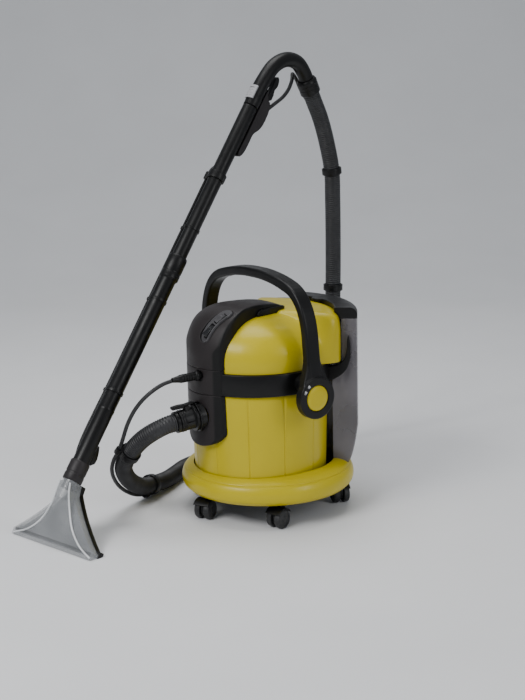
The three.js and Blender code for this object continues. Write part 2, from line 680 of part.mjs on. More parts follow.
// ---------- carrying handle ----------
function bailOutline(inset) {
  const x = (v) => v - inset;
  const shape = new THREE.Shape();
  const top = BAIL.top - inset;
  shape.moveTo(x(BAIL.faceX), 240);
  shape.lineTo(x(BAIL.faceX), 268);
  shape.bezierCurveTo(x(190), 300, x(184), 330, x(180), 380);
  shape.bezierCurveTo(x(174), 431, x(153), 469 - inset * 0.7, 108 - inset * 0.3, 481 - inset);
  shape.quadraticCurveTo(56, top + 1, 0, top);
  shape.quadraticCurveTo(-56, top + 1, -108 + inset * 0.3, 481 - inset);
  shape.bezierCurveTo(-x(153), 469 - inset * 0.7, -x(174), 431, -x(180), 380);
  shape.bezierCurveTo(-x(184), 330, -x(190), 300, -x(BAIL.faceX), 268);
  shape.lineTo(-x(BAIL.faceX), 240);
  return shape;
}

function carryHandle() {
  const half = BAIL.width / 2;
  const outer = alongY(bailOutline(0), -half, half, 7);
  const inner = alongY(bailOutline(BAIL.thick + 1.5), -half - 5, half + 5, 7);
  const arch = outer.subtract(inner).intersect(boxSolid(500, 99, 300, 0, 0, BAIL.pivotZ + 150));
  const hubs = [-1, 1].map((side) => {
    const [x0, x1] = [side * (BAIL.faceX - BAIL.thick), side * BAIL.faceX];
    const z = BAIL.pivotZ;
    const hub = bar([x0, 0, z], [x1, 0, z], BAIL.hubR, 24);
    const pocket = bar([x1 - side * 6, 0, z], [x1 + side * 9, 0, z], 25.5, 24);
    const bore = bar([x0 - 4 * side, 0, z], [x1, 0, z], 10.5, 14);
    return { hub, pocket, bore };
  });
  const flare = [-1, 1].map((side) => {
    const shape = shapeOf([
      [-34, BAIL.pivotZ + 20], [-half, BAIL.pivotZ + 66], [half, BAIL.pivotZ + 66],
      [34, BAIL.pivotZ + 20],
    ]);
    const [x0, x1] = [side * (BAIL.faceX - BAIL.thick), side * (BAIL.faceX - 2)];
    return acrossX(shape, Math.min(x0, x1), Math.max(x0, x1));
  });
  const whole = union(arch, ...hubs.map(({ hub }) => hub), ...flare);
  return cut(whole, ...hubs.flatMap(({ pocket, bore }) => [pocket, bore]));
}

function hubCap(side) {
  const x = BAIL.faceX;
  const rim = bar([side * (x - 5.6), 0, BAIL.pivotZ], [side * (x - 0.6), 0, BAIL.pivotZ], 25, 24);
  const crown = bar([side * (x - 1), 0, BAIL.pivotZ], [side * (x + 1), 0, BAIL.pivotZ], 21, 24);
  return union(rim, crown);
}

// Pivot boss of the band, carrying the handle on one side.
function pivotPin(side) {
  const x = BAIL.faceX - BAIL.thick;
  const z = BAIL.pivotZ;
  const pin = bar([side * (x - 8), 0, z], [side * (x + 9), 0, z], 10, 14);
  const boss = bar([side * 141, 0, z + 22], [side * (x - 7), 0, z + 22], 18, 16);
  const plate = boxSolid(10, 36, 42, side * (x - 10.6), 0, z + 3);
  const clearance = lathe([[0, 200], [TUB.rTop + 1.5, 200], [TUB.rTop + 1.5, BAND.bottom],
    [BAND.r - 1, BAND.bottom], [BAND.r - 1, 330], [0, 330]]);
  return union(pin, boss, plate).subtract(clearance);
}

// ---------- inside the head and the container ----------
function fanRotor() {
  const hub = lathe([[3, 325], [14, 325], [9, 341], [3, 341], [3, 325]], 10);
  const plate = ring(3, 46, 323.5, 326, 20);
  const blade = boxSolid(34, 2, 13, 27, 0, 332);
  const blades = Array.from({ length: 6 }, (_, i) => moved(blade,
    new THREE.Matrix4().makeRotationZ((i * Math.PI) / 3)));
  return union(hub, plate, ...blades);
}

function motorBody() {
  const housing = lathe([
    [0, 345], [40, 345], [42, 349], [42, 386], [34, 393], [0, 393],
  ], 20);
  const shaft = bar([0, 0, 322], [0, 0, 346], 2.4, 12);
  return union(housing, shaft);
}

// Shroud round the fan, standing on the motor deck, with an outlet at the side.
function fanHousing() {
  const wall = lathe([
    [24, 313], [56, 313], [56, 344.4], [30, 344.4], [30, 342], [52.5, 342], [52.5, 316], [24, 316],
    [24, 313],
  ], 20);
  const feet = [0, 1, 2].map((i) => {
    const turn = rad(90 + 120 * i);
    return bar([50 * Math.cos(turn), 50 * Math.sin(turn), 288 + GAP],
      [50 * Math.cos(turn), 50 * Math.sin(turn), 314], 5, 6);
  });
  const outlet = boxSolid(30, 22, 16, -56, 0, 331);
  return union(wall, ...feet).subtract(outlet);
}

function floatCage() {
  const cup = lathe([
    [30, 210], [34, 210], [34, 283.6], [19, 283.6], [19, 280], [30.5, 280], [30.5, 214],
    [12, 214], [12, 210], [30, 210],
  ], 14);
  const windows = [0, 90].map((turn) => moved(boxSolid(80, 16, 46, 0, 0, 246),
    new THREE.Matrix4().makeRotationZ(rad(turn))));
  return cut(cup, ...windows);
}

const floatBall = () =>
  solid(new THREE.SphereGeometry(24, 14, 8).rotateX(Math.PI / 2).translate(0, 0, 238.6));

function waterPump() {
  const body = bar([66, -66, 289], [66, -66, 336], 19, 14);
  const head = boxSolid(34, 34, 16, 66, -66, 343);
  const port = bar([66, -66, 343], [46, -96, 343], 5, 12);
  return union(body, head, port);
}

const tankValve = () => union(
  bar([0, VALVE_Y, 84], [0, VALVE_Y, 96], 5, 10), bar([0, VALVE_Y, 87], [0, VALVE_Y, 90], 7.4, 10));

function cordGland() {
  const turn = rad(35);
  const at = (r) => [-r * Math.cos(turn), r * Math.sin(turn), 285];
  return union(bar(at(144.4), at(152), 11, 14), bar(at(151), at(166), 7.5, 12))
    .subtract(bar(at(140), at(180), 4, 8));
}

// ---------- wand ----------
const wand = new THREE.Group();
wand.position.set(...WAND.foot, 0);
wand.rotation.z = rad(WAND.yaw);
// Its straight tubes lie along Z of this inner group.
const shaft = new THREE.Group();
shaft.position.set(0, WAND.s, WAND.z);
shaft.rotation.x = -rad(WAND.tilt);
shaft.updateMatrix();
wand.add(shaft);
wand.updateMatrix();
model.add(wand);

// Centre line of the elbow in the wand's plane: distance out, height.
const ELBOW = [
  [580, 797], [601, 824], [626, 852], [657, 878], [695, 889], [729, 881], [750, 859],
  [764, 831],
];

const elbowTube = (r) => rod(ELBOW.map(([s, z]) => [0, s, z]), r, 14, 14);

function hoseCuff() {
  const sleeve = lathe([
    [22, -17], [22, 11], [19.8, 16], [17.3, 16], [17.3, 1], [19.2, 0], [19.2, -17], [22, -17],
  ], 18);
  const [s, z] = ELBOW.at(-1);
  const matrix = new THREE.Matrix4().makeTranslation(0, s, z);
  return moved(sleeve, matrix.multiply(new THREE.Matrix4().makeRotationX(rad(26.6))));
}

function wandLower() {
  return lathe([
    [17, 6], [17, 444], [20, 448], [20, 492], [18.6, 498], [15.9, 498], [15.9, 470], [14.7, 469],
    [14.7, 6], [17, 6],
  ], 16);
}

const wandUpper = () => ring(13, 15.4, 472, 857.5, 16);

function wandLatch() {
  const shape = shapeOf([
    [18.2, 44], [21, 42], [30, 50], [31, 60], [27, 74], [22, 84], [18.2, 84],
  ]);
  return acrossX(shape, -6, 6);
}

function triggerHousing() {
  const shape = smoothShape([
    [16.4, 756], [22, 752], [29, 764], [31, 790], [31.5, 812], [42, 832], [46, 856], [43, 880],
    [37, 893], [28, 897], [22, 905], [18, 915], [16.4, 900], [16.4, 840], [16.4, 790],
  ], 34);
  const body = acrossX(shape, -11, 11);
  const slot = boxSolid(13, 40, 60, 0, 46, 922);
  const hoseBore = bar([0, 36, 864], [0, 62, 920], 5.7, 12);
  const elbow = moved(solid(elbowTube(16.5)), shaft.matrix.clone().invert());
  return cut(body, slot, disc(16.3, 700, 858.4, 24), hoseBore, elbow);
}

function sprayTrigger() {
  const shape = smoothShape([
    [30, 902], [34, 899], [40, 902], [41, 915], [38, 926], [41, 938], [37, 951], [31, 955],
    [28, 948], [29, 925],
  ], 24);
  return acrossX(shape, -6, 6);
}

function airSlide() {
  const band = ring(16.9, 18.9, 872, 902, 20);
  return band.intersect(boxSolid(22, 30, 60, 0, -22, 880));
}

function sprayLine() {
  const points = [
    [-6, 23, 748.5], [-14, 18, 738], [-22, 9, 722], [-25.5, 1, 704], [-25.5, 0, 690],
    [-25.5, 0, 560], [-25.5, 0, 440], [-25.5, 0, 320], [-25.5, 0, 200], [-25.5, 0, 80],
    [-27, 8, 48], [-23, 20, 20], [-14, 31, -3], [-4, 37.5, -15],
  ];
  return rod(points, 3.4, 8, 24);
}

function wandClip(z, tubeR) {
  const body = union(slab(circle(tubeR + 3.4), z - 8, z + 8, 12),
    slab(circle(7.2, -25.5, 0), z - 8, z + 8, 6), boxSolid(8, 7, 16, -19, 0, z));
  return cut(body, slab(circle(tubeR + 1), z - 20, z + 20, 12),
    slab(circle(4.9, -25.5, 0), z - 20, z + 20, 6));
}

// ---------- floor nozzle ----------
const MOUTH = 236;
const HOOD_TILT = 28.3;

// Front view of the hood: a neck that flares to the full mouth.
function hoodFront(inset) {
  const half = MOUTH / 2 - inset;
  const shape = new THREE.Shape();
  shape.moveTo(-half, -14);
  shape.lineTo(half, -14);
  shape.lineTo(half, 6);
  shape.quadraticCurveTo(56 - inset, 50, 14 - inset, 104);
  shape.lineTo(14 - inset, 140);
  shape.lineTo(inset - 14, 140);
  shape.lineTo(inset - 14, 104);
  shape.quadraticCurveTo(inset - 56, 50, -half, 6);
  return shape;
}

// Side view of the hood: thin at the mouth, deep at the neck. Y is forward of the back plate.
function hoodSide(inset) {
  return shapeOf([
    [inset, -20], [15 - inset, -20], [16 - inset, 20], [21 - inset, 64], [30 - inset, 98],
    [33 - inset, 142], [inset, 142],
  ].map(([y, z]) => [-y, z]));
}

const hoodFrame = new THREE.Group();
hoodFrame.position.set(0, 8, 0);
hoodFrame.rotation.x = -rad(HOOD_TILT);
hoodFrame.updateMatrix();
wand.add(hoodFrame);

// A body drawn along the wand's tubes, as the tilted nozzle frame sees it.
const fromShaft = (body) => moved(body, hoodFrame.matrix.clone().invert().multiply(shaft.matrix));

// Cuts whatever lies below the floor away from a piece in the tilted nozzle frame.
function aboveFloor(body, clearance) {
  const block = new THREE.BoxGeometry(400, 200, 100).translate(0, 0, -50 + clearance);
  block.rotateX(rad(HOOD_TILT));
  return body.subtract(solid(block));
}

function nozzleHood() {
  const collar = fromShaft(disc(17.8, -40, 10, 20)).intersect(boxSolid(60, 60, 90, 0, -30, 125));
  const flare = alongY(hoodFront(0), -60, 0, 10).intersect(acrossX(hoodSide(0), -200, 200));
  const outside = union(flare, collar);
  const inside = alongY(hoodFront(2.5), -60, 0, 10)
    .intersect(acrossX(hoodSide(2.5), -200, 200));
  const mouth = boxSolid(MOUTH - 8, 9, 40, 0, -7.6, -12);
  const above = fromShaft(boxSolid(200, 200, 90, 0, 0, 43.6));
  const throat = fromShaft(disc(15, -26, 20, 20));
  return aboveFloor(cut(outside, inside, mouth, throat, above), 1.2);
}

function nozzleBack() {
  const plate = alongY(hoodFront(-1.5), GAP, 9.5, 10);
  const rib = boxSolid(26, 9, 100, 0, 8, 62);
  const lip = boxSolid(MOUTH + 2, 11, 16, 0, 6.5, 5);
  const above = fromShaft(boxSolid(200, 200, 90, 0, 0, 43.6));
  return aboveFloor(cut(union(plate, rib, lip), above), 0.2);
}

// Socket between the hood and the wand's lower tube.
function nozzleNeck() {
  return lathe([
    [12, -18], [14.4, -18], [14.4, -1], [19.8, -1], [19.8, 40], [17.5, 40], [17.5, 2.5],
    [12, 2.5], [12, -18],
  ], 18);
}

function sprayJet() {
  const body = bar([0, 19.4, 96], [0, 19.4, 80], 6, 12);
  const tip = bar([0, 19.4, 82], [0, 26, 66], 3.4, 10);
  return union(body, tip);
}

// ---------- assembly ----------
add(part('base_skirt', baseSkirt(), YELLOW), part('base_pan', basePan(), BLACK));
CASTERS.forEach((_, index) => add(caster(index)));
add(part('dirty_water_container', container(), YELLOW));
add(part('container_seal', ring(TUB.rTop - 12, TUB.rTop - 4, 255, 263.4), RUBBER));
add(part('head_frame', headFrame(), BLACK), part('dome_cover', domeCover(), YELLOW));
add(part('spine_upper', spineUpper(), DARK), part('spine_lower', spineLower(), DARK));
add(part('switch_panel', switchPanel(), BLACK), ...ROCKERS.map(rockerSwitch));
add(part('hose_socket', hoseSocket(), BLACK), part('hose_coupling', hoseCoupling(), BLACK));
add(part('coupling_latch', couplingLatch(), BLACK), part('spray_plug', sprayPlug(), BLACK));
add(part('suction_hose', rod(SUCTION_ROUTE, HOSE_R, 10, 56), RUBBER));
add(part('spray_hose', rod(sprayRoute(), SPRAY_R, 8, 72), RUBBER));
CLIP_POINTS.forEach((at, i) => add(hoseClip(`hose_clip_${i + 1}`, at)));
add(part('water_tank', waterTank(), SMOKE), part('tank_lid', tankLid(), BLACK));
add(part('tank_valve', tankValve(), RUBBER));
add(part('carry_handle', carryHandle(), BLACK));
add(part('handle_cap_right', hubCap(1), YELLOW), part('handle_cap_left', hubCap(-1), YELLOW));
add(part('fan_rotor', fanRotor(), GREY), part('fan_housing', fanHousing(), DARK));
add(part('motor', motorBody(), STEEL), part('water_pump', waterPump(), DARK));
add(part('float_cage', floatCage(), WHITE), part('float_ball', floatBall(), WHITE));
add(part('cord_gland', cordGland(), BLACK));
wand.add(part('wand_elbow', elbowTube(16), BLACK), part('hose_cuff', hoseCuff(), BLACK));
shaft.add(part('wand_lower_tube', wandLower(), BLACK), part('wand_upper_tube', wandUpper(), BLACK));
shaft.add(part('wand_latch', wandLatch(), BLACK), part('trigger_housing', triggerHousing(), DARK));
shaft.add(part('spray_trigger', sprayTrigger(), BLACK), part('air_slide', airSlide(), GREY));
shaft.add(part('spray_line', sprayLine(), BLACK), part('nozzle_neck', nozzleNeck(), DARK));
shaft.add(part('wand_clip', wandClip(688, 15.4), BLACK));
hoodFrame.add(part('nozzle_hood', nozzleHood(), CLEAR), part('nozzle_back', nozzleBack(), BLACK));
hoodFrame.add(part('spray_jet', sprayJet(), BLACK));

export default model;
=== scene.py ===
"""Looks of a spray-extraction carpet cleaner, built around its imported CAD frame.

Shapes are drawn in millimetres in the machine's own frame: the container's axis
is x = y = 0, the floor z = 0, the front -Y and the tank +Y. piece() moves them to
the row frame, which the script finds from the container's own box.
"""
import json
import math

import bmesh
import bpy
from mathutils import Matrix, Vector


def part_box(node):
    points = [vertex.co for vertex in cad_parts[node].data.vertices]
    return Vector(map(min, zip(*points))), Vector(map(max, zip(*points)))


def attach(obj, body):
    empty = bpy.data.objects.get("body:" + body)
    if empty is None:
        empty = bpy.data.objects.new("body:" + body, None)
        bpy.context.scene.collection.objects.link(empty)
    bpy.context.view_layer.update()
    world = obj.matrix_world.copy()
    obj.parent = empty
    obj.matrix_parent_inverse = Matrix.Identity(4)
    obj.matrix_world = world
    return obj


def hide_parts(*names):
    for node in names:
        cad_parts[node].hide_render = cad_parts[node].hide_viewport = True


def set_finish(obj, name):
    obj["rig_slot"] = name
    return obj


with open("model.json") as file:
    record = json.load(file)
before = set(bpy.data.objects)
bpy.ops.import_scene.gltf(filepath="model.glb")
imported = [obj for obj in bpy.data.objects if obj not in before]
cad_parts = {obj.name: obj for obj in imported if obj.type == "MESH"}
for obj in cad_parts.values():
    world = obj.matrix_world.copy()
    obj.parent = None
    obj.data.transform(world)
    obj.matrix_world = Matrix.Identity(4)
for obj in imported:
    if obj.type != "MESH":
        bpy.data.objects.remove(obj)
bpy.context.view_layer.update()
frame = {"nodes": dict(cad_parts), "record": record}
record = frame["record"]
SLOT_OF = {part["node"]: part["material_slot"] for part in record["subparts"]}
BODY_OF = {n: body for body, nodes in record["behaviour"]["bodies"].items() for n in nodes}

tub_low, tub_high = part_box("dirty_water_container")
TO_ROW = Matrix.Translation(((tub_low.x + tub_high.x) / 2, (tub_low.y + tub_high.y) / 2, 0))
TO_ROW = TO_ROW @ Matrix.Scale(0.001, 4)
IDENTITY = Matrix.Identity(4)
rad = math.radians
MIRROR_X = Matrix.Scale(-1, 4, (1, 0, 0))


def row_point(p):
    return TO_ROW @ Vector(p)


# ---------- camera ----------
def add_camera():
    right = Vector((0.59142, 0.80605, -0.02262))
    up = Vector((-0.16824, 0.15077, 0.97415))
    back = Vector((0.78862, -0.57233, 0.22478))
    data = bpy.data.cameras.new("camera")
    data.lens = 74.73
    data.sensor_width = 36
    data.clip_start = 0.05
    data.clip_end = 60
    camera = bpy.data.objects.new("camera", data)
    bpy.context.scene.collection.objects.link(camera)
    turn = Matrix((right, up, back)).transposed().to_4x4()
    camera.matrix_world = Matrix.Translation(row_point((2309.6, -1664.9, 982.6))) @ turn
    bpy.context.scene.camera = camera


add_camera()


# ---------- materials ----------
class Graph:
    """A node tree with the few moves every material here is made of."""

    def __init__(self, name):
        self.material = bpy.data.materials.new(name)
        self.material.use_nodes = True
        self.nodes = self.material.node_tree.nodes
        self.links = self.material.node_tree.links
        self.shader = self.nodes["Principled BSDF"]
        self.coords = self.nodes.new("ShaderNodeTexCoord").outputs["Object"]
        self.height = None

    def noise(self, scale, detail=3.0, rough=0.5, stretch=(1, 1, 1)):
        mapping = self.nodes.new("ShaderNodeMapping")
        mapping.inputs["Scale"].default_value = stretch
        self.links.new(self.coords, mapping.inputs["Vector"])
        node = self.nodes.new("ShaderNodeTexNoise")
        node.inputs["Scale"].default_value = scale
        node.inputs["Detail"].default_value = detail
        node.inputs["Roughness"].default_value = rough
        self.links.new(mapping.outputs["Vector"], node.inputs["Vector"])
        return node.outputs["Fac"]

    def span(self, value, low, high, to_low, to_high):
        node = self.nodes.new("ShaderNodeMapRange")
        for key, number in zip(("From Min", "From Max", "To Min", "To Max"),
                               (low, high, to_low, to_high)):
            node.inputs[key].default_value = number
        self.links.new(value, node.inputs["Value"])
        return node.outputs["Result"]

    def mix(self, share, first, second):
        node = self.nodes.new("ShaderNodeMix")
        node.data_type = "RGBA"
        a, b = [s for s in node.inputs if s.type == "RGBA"]
        for socket, value in ((a, first), (b, second)):
            if isinstance(value, tuple):
                socket.default_value = (*value, 1)
            else:
                self.links.new(value, socket)
        self.links.new(share, node.inputs["Factor"])
        return [s for s in node.outputs if s.type == "RGBA"][0]

    def bump(self, height, distance, strength=1.0):
        node = self.nodes.new("ShaderNodeBump")
        node.inputs["Distance"].default_value = distance
        node.inputs["Strength"].default_value = strength
        self.links.new(height, node.inputs["Height"])
        if self.height is not None:
            self.links.new(self.height, node.inputs["Normal"])
        self.height = node.outputs["Normal"]
        self.links.new(self.height, self.shader.inputs["Normal"])

    def edges(self, low, high):
        geometry = self.nodes.new("ShaderNodeNewGeometry")
        return self.span(geometry.outputs["Pointiness"], low, high, 0, 1)

    def set(self, **values):
        for key, value in values.items():
            socket = self.shader.inputs[key.replace("_", " ")]
            if isinstance(value, bpy.types.NodeSocket):
                self.links.new(value, socket)
            else:
                socket.default_value = value


def plastic(name, colour, rough, grain_mm=0.5, depth_mm=0.02, vary=0.12, wear=0.0, dust=0.05,
            **extra):
    """Moulded plastic: fine grain, cloudy gloss, faint dust and lighter worn edges."""
    g = Graph(name)
    cloud = g.noise(9, 4, 0.6)
    smudge = g.noise(38, 5, 0.65)
    dark = tuple(c * (1 - vary) for c in colour)
    light = tuple(min(1, c * (1 + vary) + 0.01 * dust) for c in colour)
    shade = g.mix(g.span(cloud, 0.3, 0.7, 0, 1), dark, light)
    if wear:
        worn = tuple(min(1, c + wear) for c in colour)
        shade = g.mix(g.edges(0.54, 0.62), shade, worn)
    g.set(Base_Color=shade, Roughness=g.span(smudge, 0.3, 0.7, rough - 0.05, rough + 0.08))
    grain = g.noise(1000 / grain_mm, 2, 0.5)
    g.bump(grain, depth_mm / 1000)
    ripple = g.noise(26, 2, 0.4)
    g.bump(ripple, 0.0004, 0.25)
    g.set(**extra)
    return g.material


def rubber_hose(name, colour):
    g = Graph(name)
    shade = g.mix(g.span(g.noise(30, 5, 0.7), 0.35, 0.7, 0, 1), colour,
                  tuple(c * 2.2 + 0.004 for c in colour))
    g.set(Base_Color=shade, Roughness=g.span(g.noise(70, 3), 0.3, 0.7, 0.42, 0.6))
    g.bump(g.noise(1600, 2), 0.00004)
    return g.material


def tyre(name):
    g = Graph(name)
    dust = g.span(g.noise(120, 5, 0.7), 0.45, 0.75, 0, 0.6)
    g.set(Base_Color=g.mix(dust, (0.012, 0.012, 0.013), (0.05, 0.05, 0.05)),
          Roughness=g.span(g.noise(90, 3), 0.3, 0.7, 0.4, 0.62))
    g.bump(g.noise(1800, 2), 0.00005)
    return g.material


def see_through(name, colour, alpha_low, alpha_high, rough):
    """Tinted clear plastic, a little denser and duller in cloudy patches."""
    g = Graph(name)
    cloud = g.noise(14, 3, 0.5)
    g.set(Base_Color=g.mix(g.span(cloud, 0.3, 0.7, 0, 1), colour,
                           tuple(min(1, c * 1.25) for c in colour)),
          Alpha=g.span(cloud, 0.3, 0.7, alpha_low, alpha_high),
          Roughness=g.span(g.noise(60, 3), 0.3, 0.7, rough, rough + 0.08))
    g.bump(g.noise(45, 2), 0.0003, 0.4)
    g.set(IOR=1.5)
    return g.material


def metal(name):
    g = Graph(name)
    streak = g.noise(300, 3, 0.6, (1, 1, 12))
    g.set(Base_Color=g.mix(streak, (0.34, 0.34, 0.36), (0.55, 0.55, 0.57)),
          Roughness=g.span(streak, 0.3, 0.7, 0.25, 0.42), Metallic=1.0)
    g.bump(streak, 0.00003)
    return g.material


LOOKS = {
    "yellow_shell": plastic("yellow_shell", (0.54, 0.43, 0.0), 0.36, 0.8, 0.008, vary=0.03,
                            Coat_Weight=0.1, Coat_Roughness=0.15, Specular_IOR_Level=0.35),
    "black_plastic": plastic("black_plastic", (0.0032, 0.0031, 0.0032), 0.36, 0.5, 0.02,
                             vary=0.2, wear=0.01, Specular_IOR_Level=0.28),
    "spine_plastic": plastic("spine_plastic", (0.018, 0.015, 0.016), 0.46, 0.42, 0.05, vary=0.1,
                             wear=0.015, Specular_IOR_Level=0.35),
    "switch_black": plastic("switch_black", (0.007, 0.007, 0.008), 0.22, 0.6, 0.005, vary=0.15,
                            wear=0.03),
    "switch_grey": plastic("switch_grey", (0.055, 0.053, 0.056), 0.3, 0.6, 0.008, vary=0.15,
                           wear=0.05),
    "hose_rubber": rubber_hose("hose_rubber", (0.0085, 0.0085, 0.0095)),
    "seal_rubber": rubber_hose("seal_rubber", (0.012, 0.012, 0.012)),
    "wheel_rubber": tyre("wheel_rubber"),
    "smoke_tank": see_through("smoke_tank", (0.15, 0.14, 0.155), 0.66, 0.76, 0.1),
    "clear_hood": see_through("clear_hood", (0.36, 0.37, 0.38), 0.3, 0.42, 0.1),
    "grey_plastic": plastic("grey_plastic", (0.3, 0.3, 0.31), 0.45),
    "pale_grey": plastic("pale_grey", (0.36, 0.36, 0.37), 0.4, vary=0.06),
    "white_plastic": plastic("white_plastic", (0.72, 0.72, 0.69), 0.4, vary=0.05),
    "motor_steel": metal("motor_steel"),
}


def darken_sideways_faces(material, side_colour):
    """Turns the faces that look sideways to a second colour."""
    tree = material.node_tree
    shader = tree.nodes["Principled BSDF"]
    front = shader.inputs["Base Color"].links[0].from_socket
    normal = tree.nodes.new("ShaderNodeTexCoord").outputs["Normal"]
    split = tree.nodes.new("ShaderNodeSeparateXYZ")
    size = tree.nodes.new("ShaderNodeMath")
    size.operation = "ABSOLUTE"
    share = tree.nodes.new("ShaderNodeMapRange")
    share.inputs["From Min"].default_value = 0.42
    share.inputs["From Max"].default_value = 0.47
    mix = tree.nodes.new("ShaderNodeMix")
    mix.data_type = "RGBA"
    a, b = [s for s in mix.inputs if s.type == "RGBA"]
    b.default_value = (*side_colour, 1)
    tree.links.new(normal, split.inputs["Vector"])
    tree.links.new(split.outputs["X"], size.inputs[0])
    tree.links.new(size.outputs["Value"], share.inputs["Value"])
    tree.links.new(share.outputs["Result"], mix.inputs["Factor"])
    tree.links.new(front, a)
    tree.links.new([s for s in mix.outputs if s.type == "RGBA"][0], shader.inputs["Base Color"])
    return material


# The arch's faces that look sideways along X are coloured near-black, darker than its front and
# top.
SPINE_LOOK = darken_sideways_faces(
    plastic("spine_dark_sides", (0.019, 0.0155, 0.016), 0.46, 0.42, 0.05, vary=0.1,
            Specular_IOR_Level=0.28), (0.002, 0.002, 0.002))
# Pale, nearly opaque material for the funnel ridges: a painted highlight along the hood's funnel
# edges.
RIDGE_HIGHLIGHT_LOOK = see_through("painted_highlight_ridge", (0.75, 0.76, 0.77), 0.8, 0.9, 0.08)
MARK_PAINT = plastic("mark_paint", (0.55, 0.55, 0.55), 0.5)


# ---------- making meshes ----------
def solid(verts, faces, matrix=IDENTITY):
    mesh = bpy.data.meshes.new("solid")
    mesh.from_pydata([matrix @ Vector(v) for v in verts], [], faces)
    bm = bmesh.new()
    bm.from_mesh(mesh)
    bmesh.ops.remove_doubles(bm, verts=bm.verts, dist=1e-4)
    bmesh.ops.recalc_face_normals(bm, faces=bm.faces)
    bm.to_mesh(mesh)
    bm.free()
    o = bpy.data.objects.new("solid", mesh)
    bpy.context.scene.collection.objects.link(o)
    return o


def apply_modifiers(o):
    graph = bpy.context.evaluated_depsgraph_get()
    mesh = bpy.data.meshes.new_from_object(o.evaluated_get(graph), depsgraph=graph)
    o.modifiers.clear()
    o.data = mesh
    return o


def combine(base, kind, *tools):
    """Boolean of base with each tool in turn; the tools are used up."""
    for tool in tools:
        modifier = base.modifiers.new("boolean", "BOOLEAN")
        modifier.operation = kind
        modifier.solver = "EXACT"
        modifier.object = tool
        apply_modifiers(base)
        bpy.data.objects.remove(tool)
    return base


def cut(base, *tools):
    return combine(base, "DIFFERENCE", *tools)


def join(base, *tools):
    return combine(base, "UNION", *tools)


def keep(base, *tools):
    return combine(base, "INTERSECT", *tools)


def soften(o, voxel, rounds=4):
    """Melts the edges together as a mould does: fine remesh, then smoothing."""
    remesh = o.modifiers.new("remesh", "REMESH")
    remesh.mode = "VOXEL"
    remesh.voxel_size = voxel
    smooth = o.modifiers.new("smooth", "SMOOTH")
    smooth.factor = 0.5
    smooth.iterations = rounds
    return apply_modifiers(o)


def bevel(o, width, segments=2, angle=32):
    modifier = o.modifiers.new("bevel", "BEVEL")
    modifier.width = width
    modifier.segments = segments
    modifier.limit_method = "ANGLE"
    modifier.angle_limit = rad(angle)
    modifier.use_clamp_overlap = True
    return apply_modifiers(o)


def copy_of(o, matrix):
    twin = bpy.data.objects.new("solid", o.data.copy())
    twin.data.transform(matrix)
    bpy.context.scene.collection.objects.link(twin)
    if matrix.determinant() < 0:
        twin.data.flip_normals()
    return twin


def revolve(profile, segments=96, matrix=IDENTITY, loop=False):
    """Turns [radius, height] points about Z. loop closes the profile on itself."""
    verts, rows = [], []
    for r, z in profile:
        if r < 1e-6:
            rows.append([len(verts)] * segments)
            verts.append((0, 0, z))
            continue
        rows.append(list(range(len(verts), len(verts) + segments)))
        verts += [(r * math.sin(2 * math.pi * i / segments),
                   -r * math.cos(2 * math.pi * i / segments), z) for i in range(segments)]
    pairs = list(zip(rows, rows[1:]))
    if loop:
        pairs.append((rows[-1], rows[0]))
    faces = []
    for a, b in pairs:
        for i in range(segments):
            j = (i + 1) % segments
            face = list(dict.fromkeys((a[i], a[j], b[j], b[i])))
            if len(face) > 2:
                faces.append(face)
    return solid(verts, faces, matrix)


def disc(r, z0, z1, segments=64, matrix=IDENTITY):
    return revolve([(0, z0), (r, z0), (r, z1), (0, z1)], segments, matrix)


def ring(r0, r1, z0, z1, segments=64, matrix=IDENTITY, round_mm=0.0):
    if round_mm <= 0:
        return revolve([(r0, z0), (r1, z0), (r1, z1), (r0, z1)], segments, matrix, loop=True)
    points = []
    for cr, cz, start in ((r1, z0, -90), (r1, z1, 0), (r0, z1, 90), (r0, z0, 180)):
        centre_r = cr - round_mm if cr == r1 else cr + round_mm
        centre_z = cz - round_mm if cz == z1 else cz + round_mm
        for k in range(5):
            turn = rad(start + 22.5 * k)
            points.append((centre_r + round_mm * math.cos(turn),
                           centre_z + round_mm * math.sin(turn)))
    return revolve(points, segments, matrix, loop=True)


def prism(outline, z0, z1, matrix=IDENTITY):
    n = len(outline)
    verts = [(x, y, z0) for x, y in outline] + [(x, y, z1) for x, y in outline]
    faces = [list(range(n))[::-1], list(range(n, 2 * n))]
    faces += [[i, (i + 1) % n, n + (i + 1) % n, n + i] for i in range(n)]
    return solid(verts, faces, matrix)


def facing_front(x, y, z):
    """Turns a shape drawn along Z so that it points to -Y from a place."""
    return Matrix(((1, 0, 0, x), (0, 0, -1, y), (0, 1, 0, z), (0, 0, 0, 1)))


def across_x(outline, x0, x1, matrix=IDENTITY):
    """An outline in Y and Z, carried across X."""
    turn = Matrix(((0, 0, 1, 0), (1, 0, 0, 0), (0, 1, 0, 0), (0, 0, 0, 1)))
    return prism(outline, x0, x1, matrix @ turn)


def along_y(outline, y0, y1, matrix=IDENTITY):
    """An outline in X and Z, carried along Y."""
    return prism(outline, -y1, -y0, matrix @ facing_front(0, 0, 0))


def block(w, d, h, x, y, z, matrix=IDENTITY):
    outline = [(x - w / 2, y - d / 2), (x + w / 2, y - d / 2), (x + w / 2, y + d / 2),
               (x - w / 2, y + d / 2)]
    return prism(outline, z - h / 2, z + h / 2, matrix)


def between(a, b):
    """Frame whose Z runs from a to b, with its length."""
    a, b = Vector(a), Vector(b)
    turn = (b - a).to_track_quat("Z", "Y").to_matrix().to_4x4()
    return Matrix.Translation(a) @ turn, (b - a).length


def bar(a, b, r, segments=32, matrix=IDENTITY):
    turn, length = between(a, b)
    return disc(r, 0, length, segments, matrix @ turn)


def circle(r, x=0.0, y=0.0, n=64, start=0.0, end=360.0):
    step = (end - start) / n
    count = n if end - start >= 360 else n + 1
    return [(x + r * math.cos(rad(start + step * i)), y + r * math.sin(rad(start + step * i)))
            for i in range(count)]


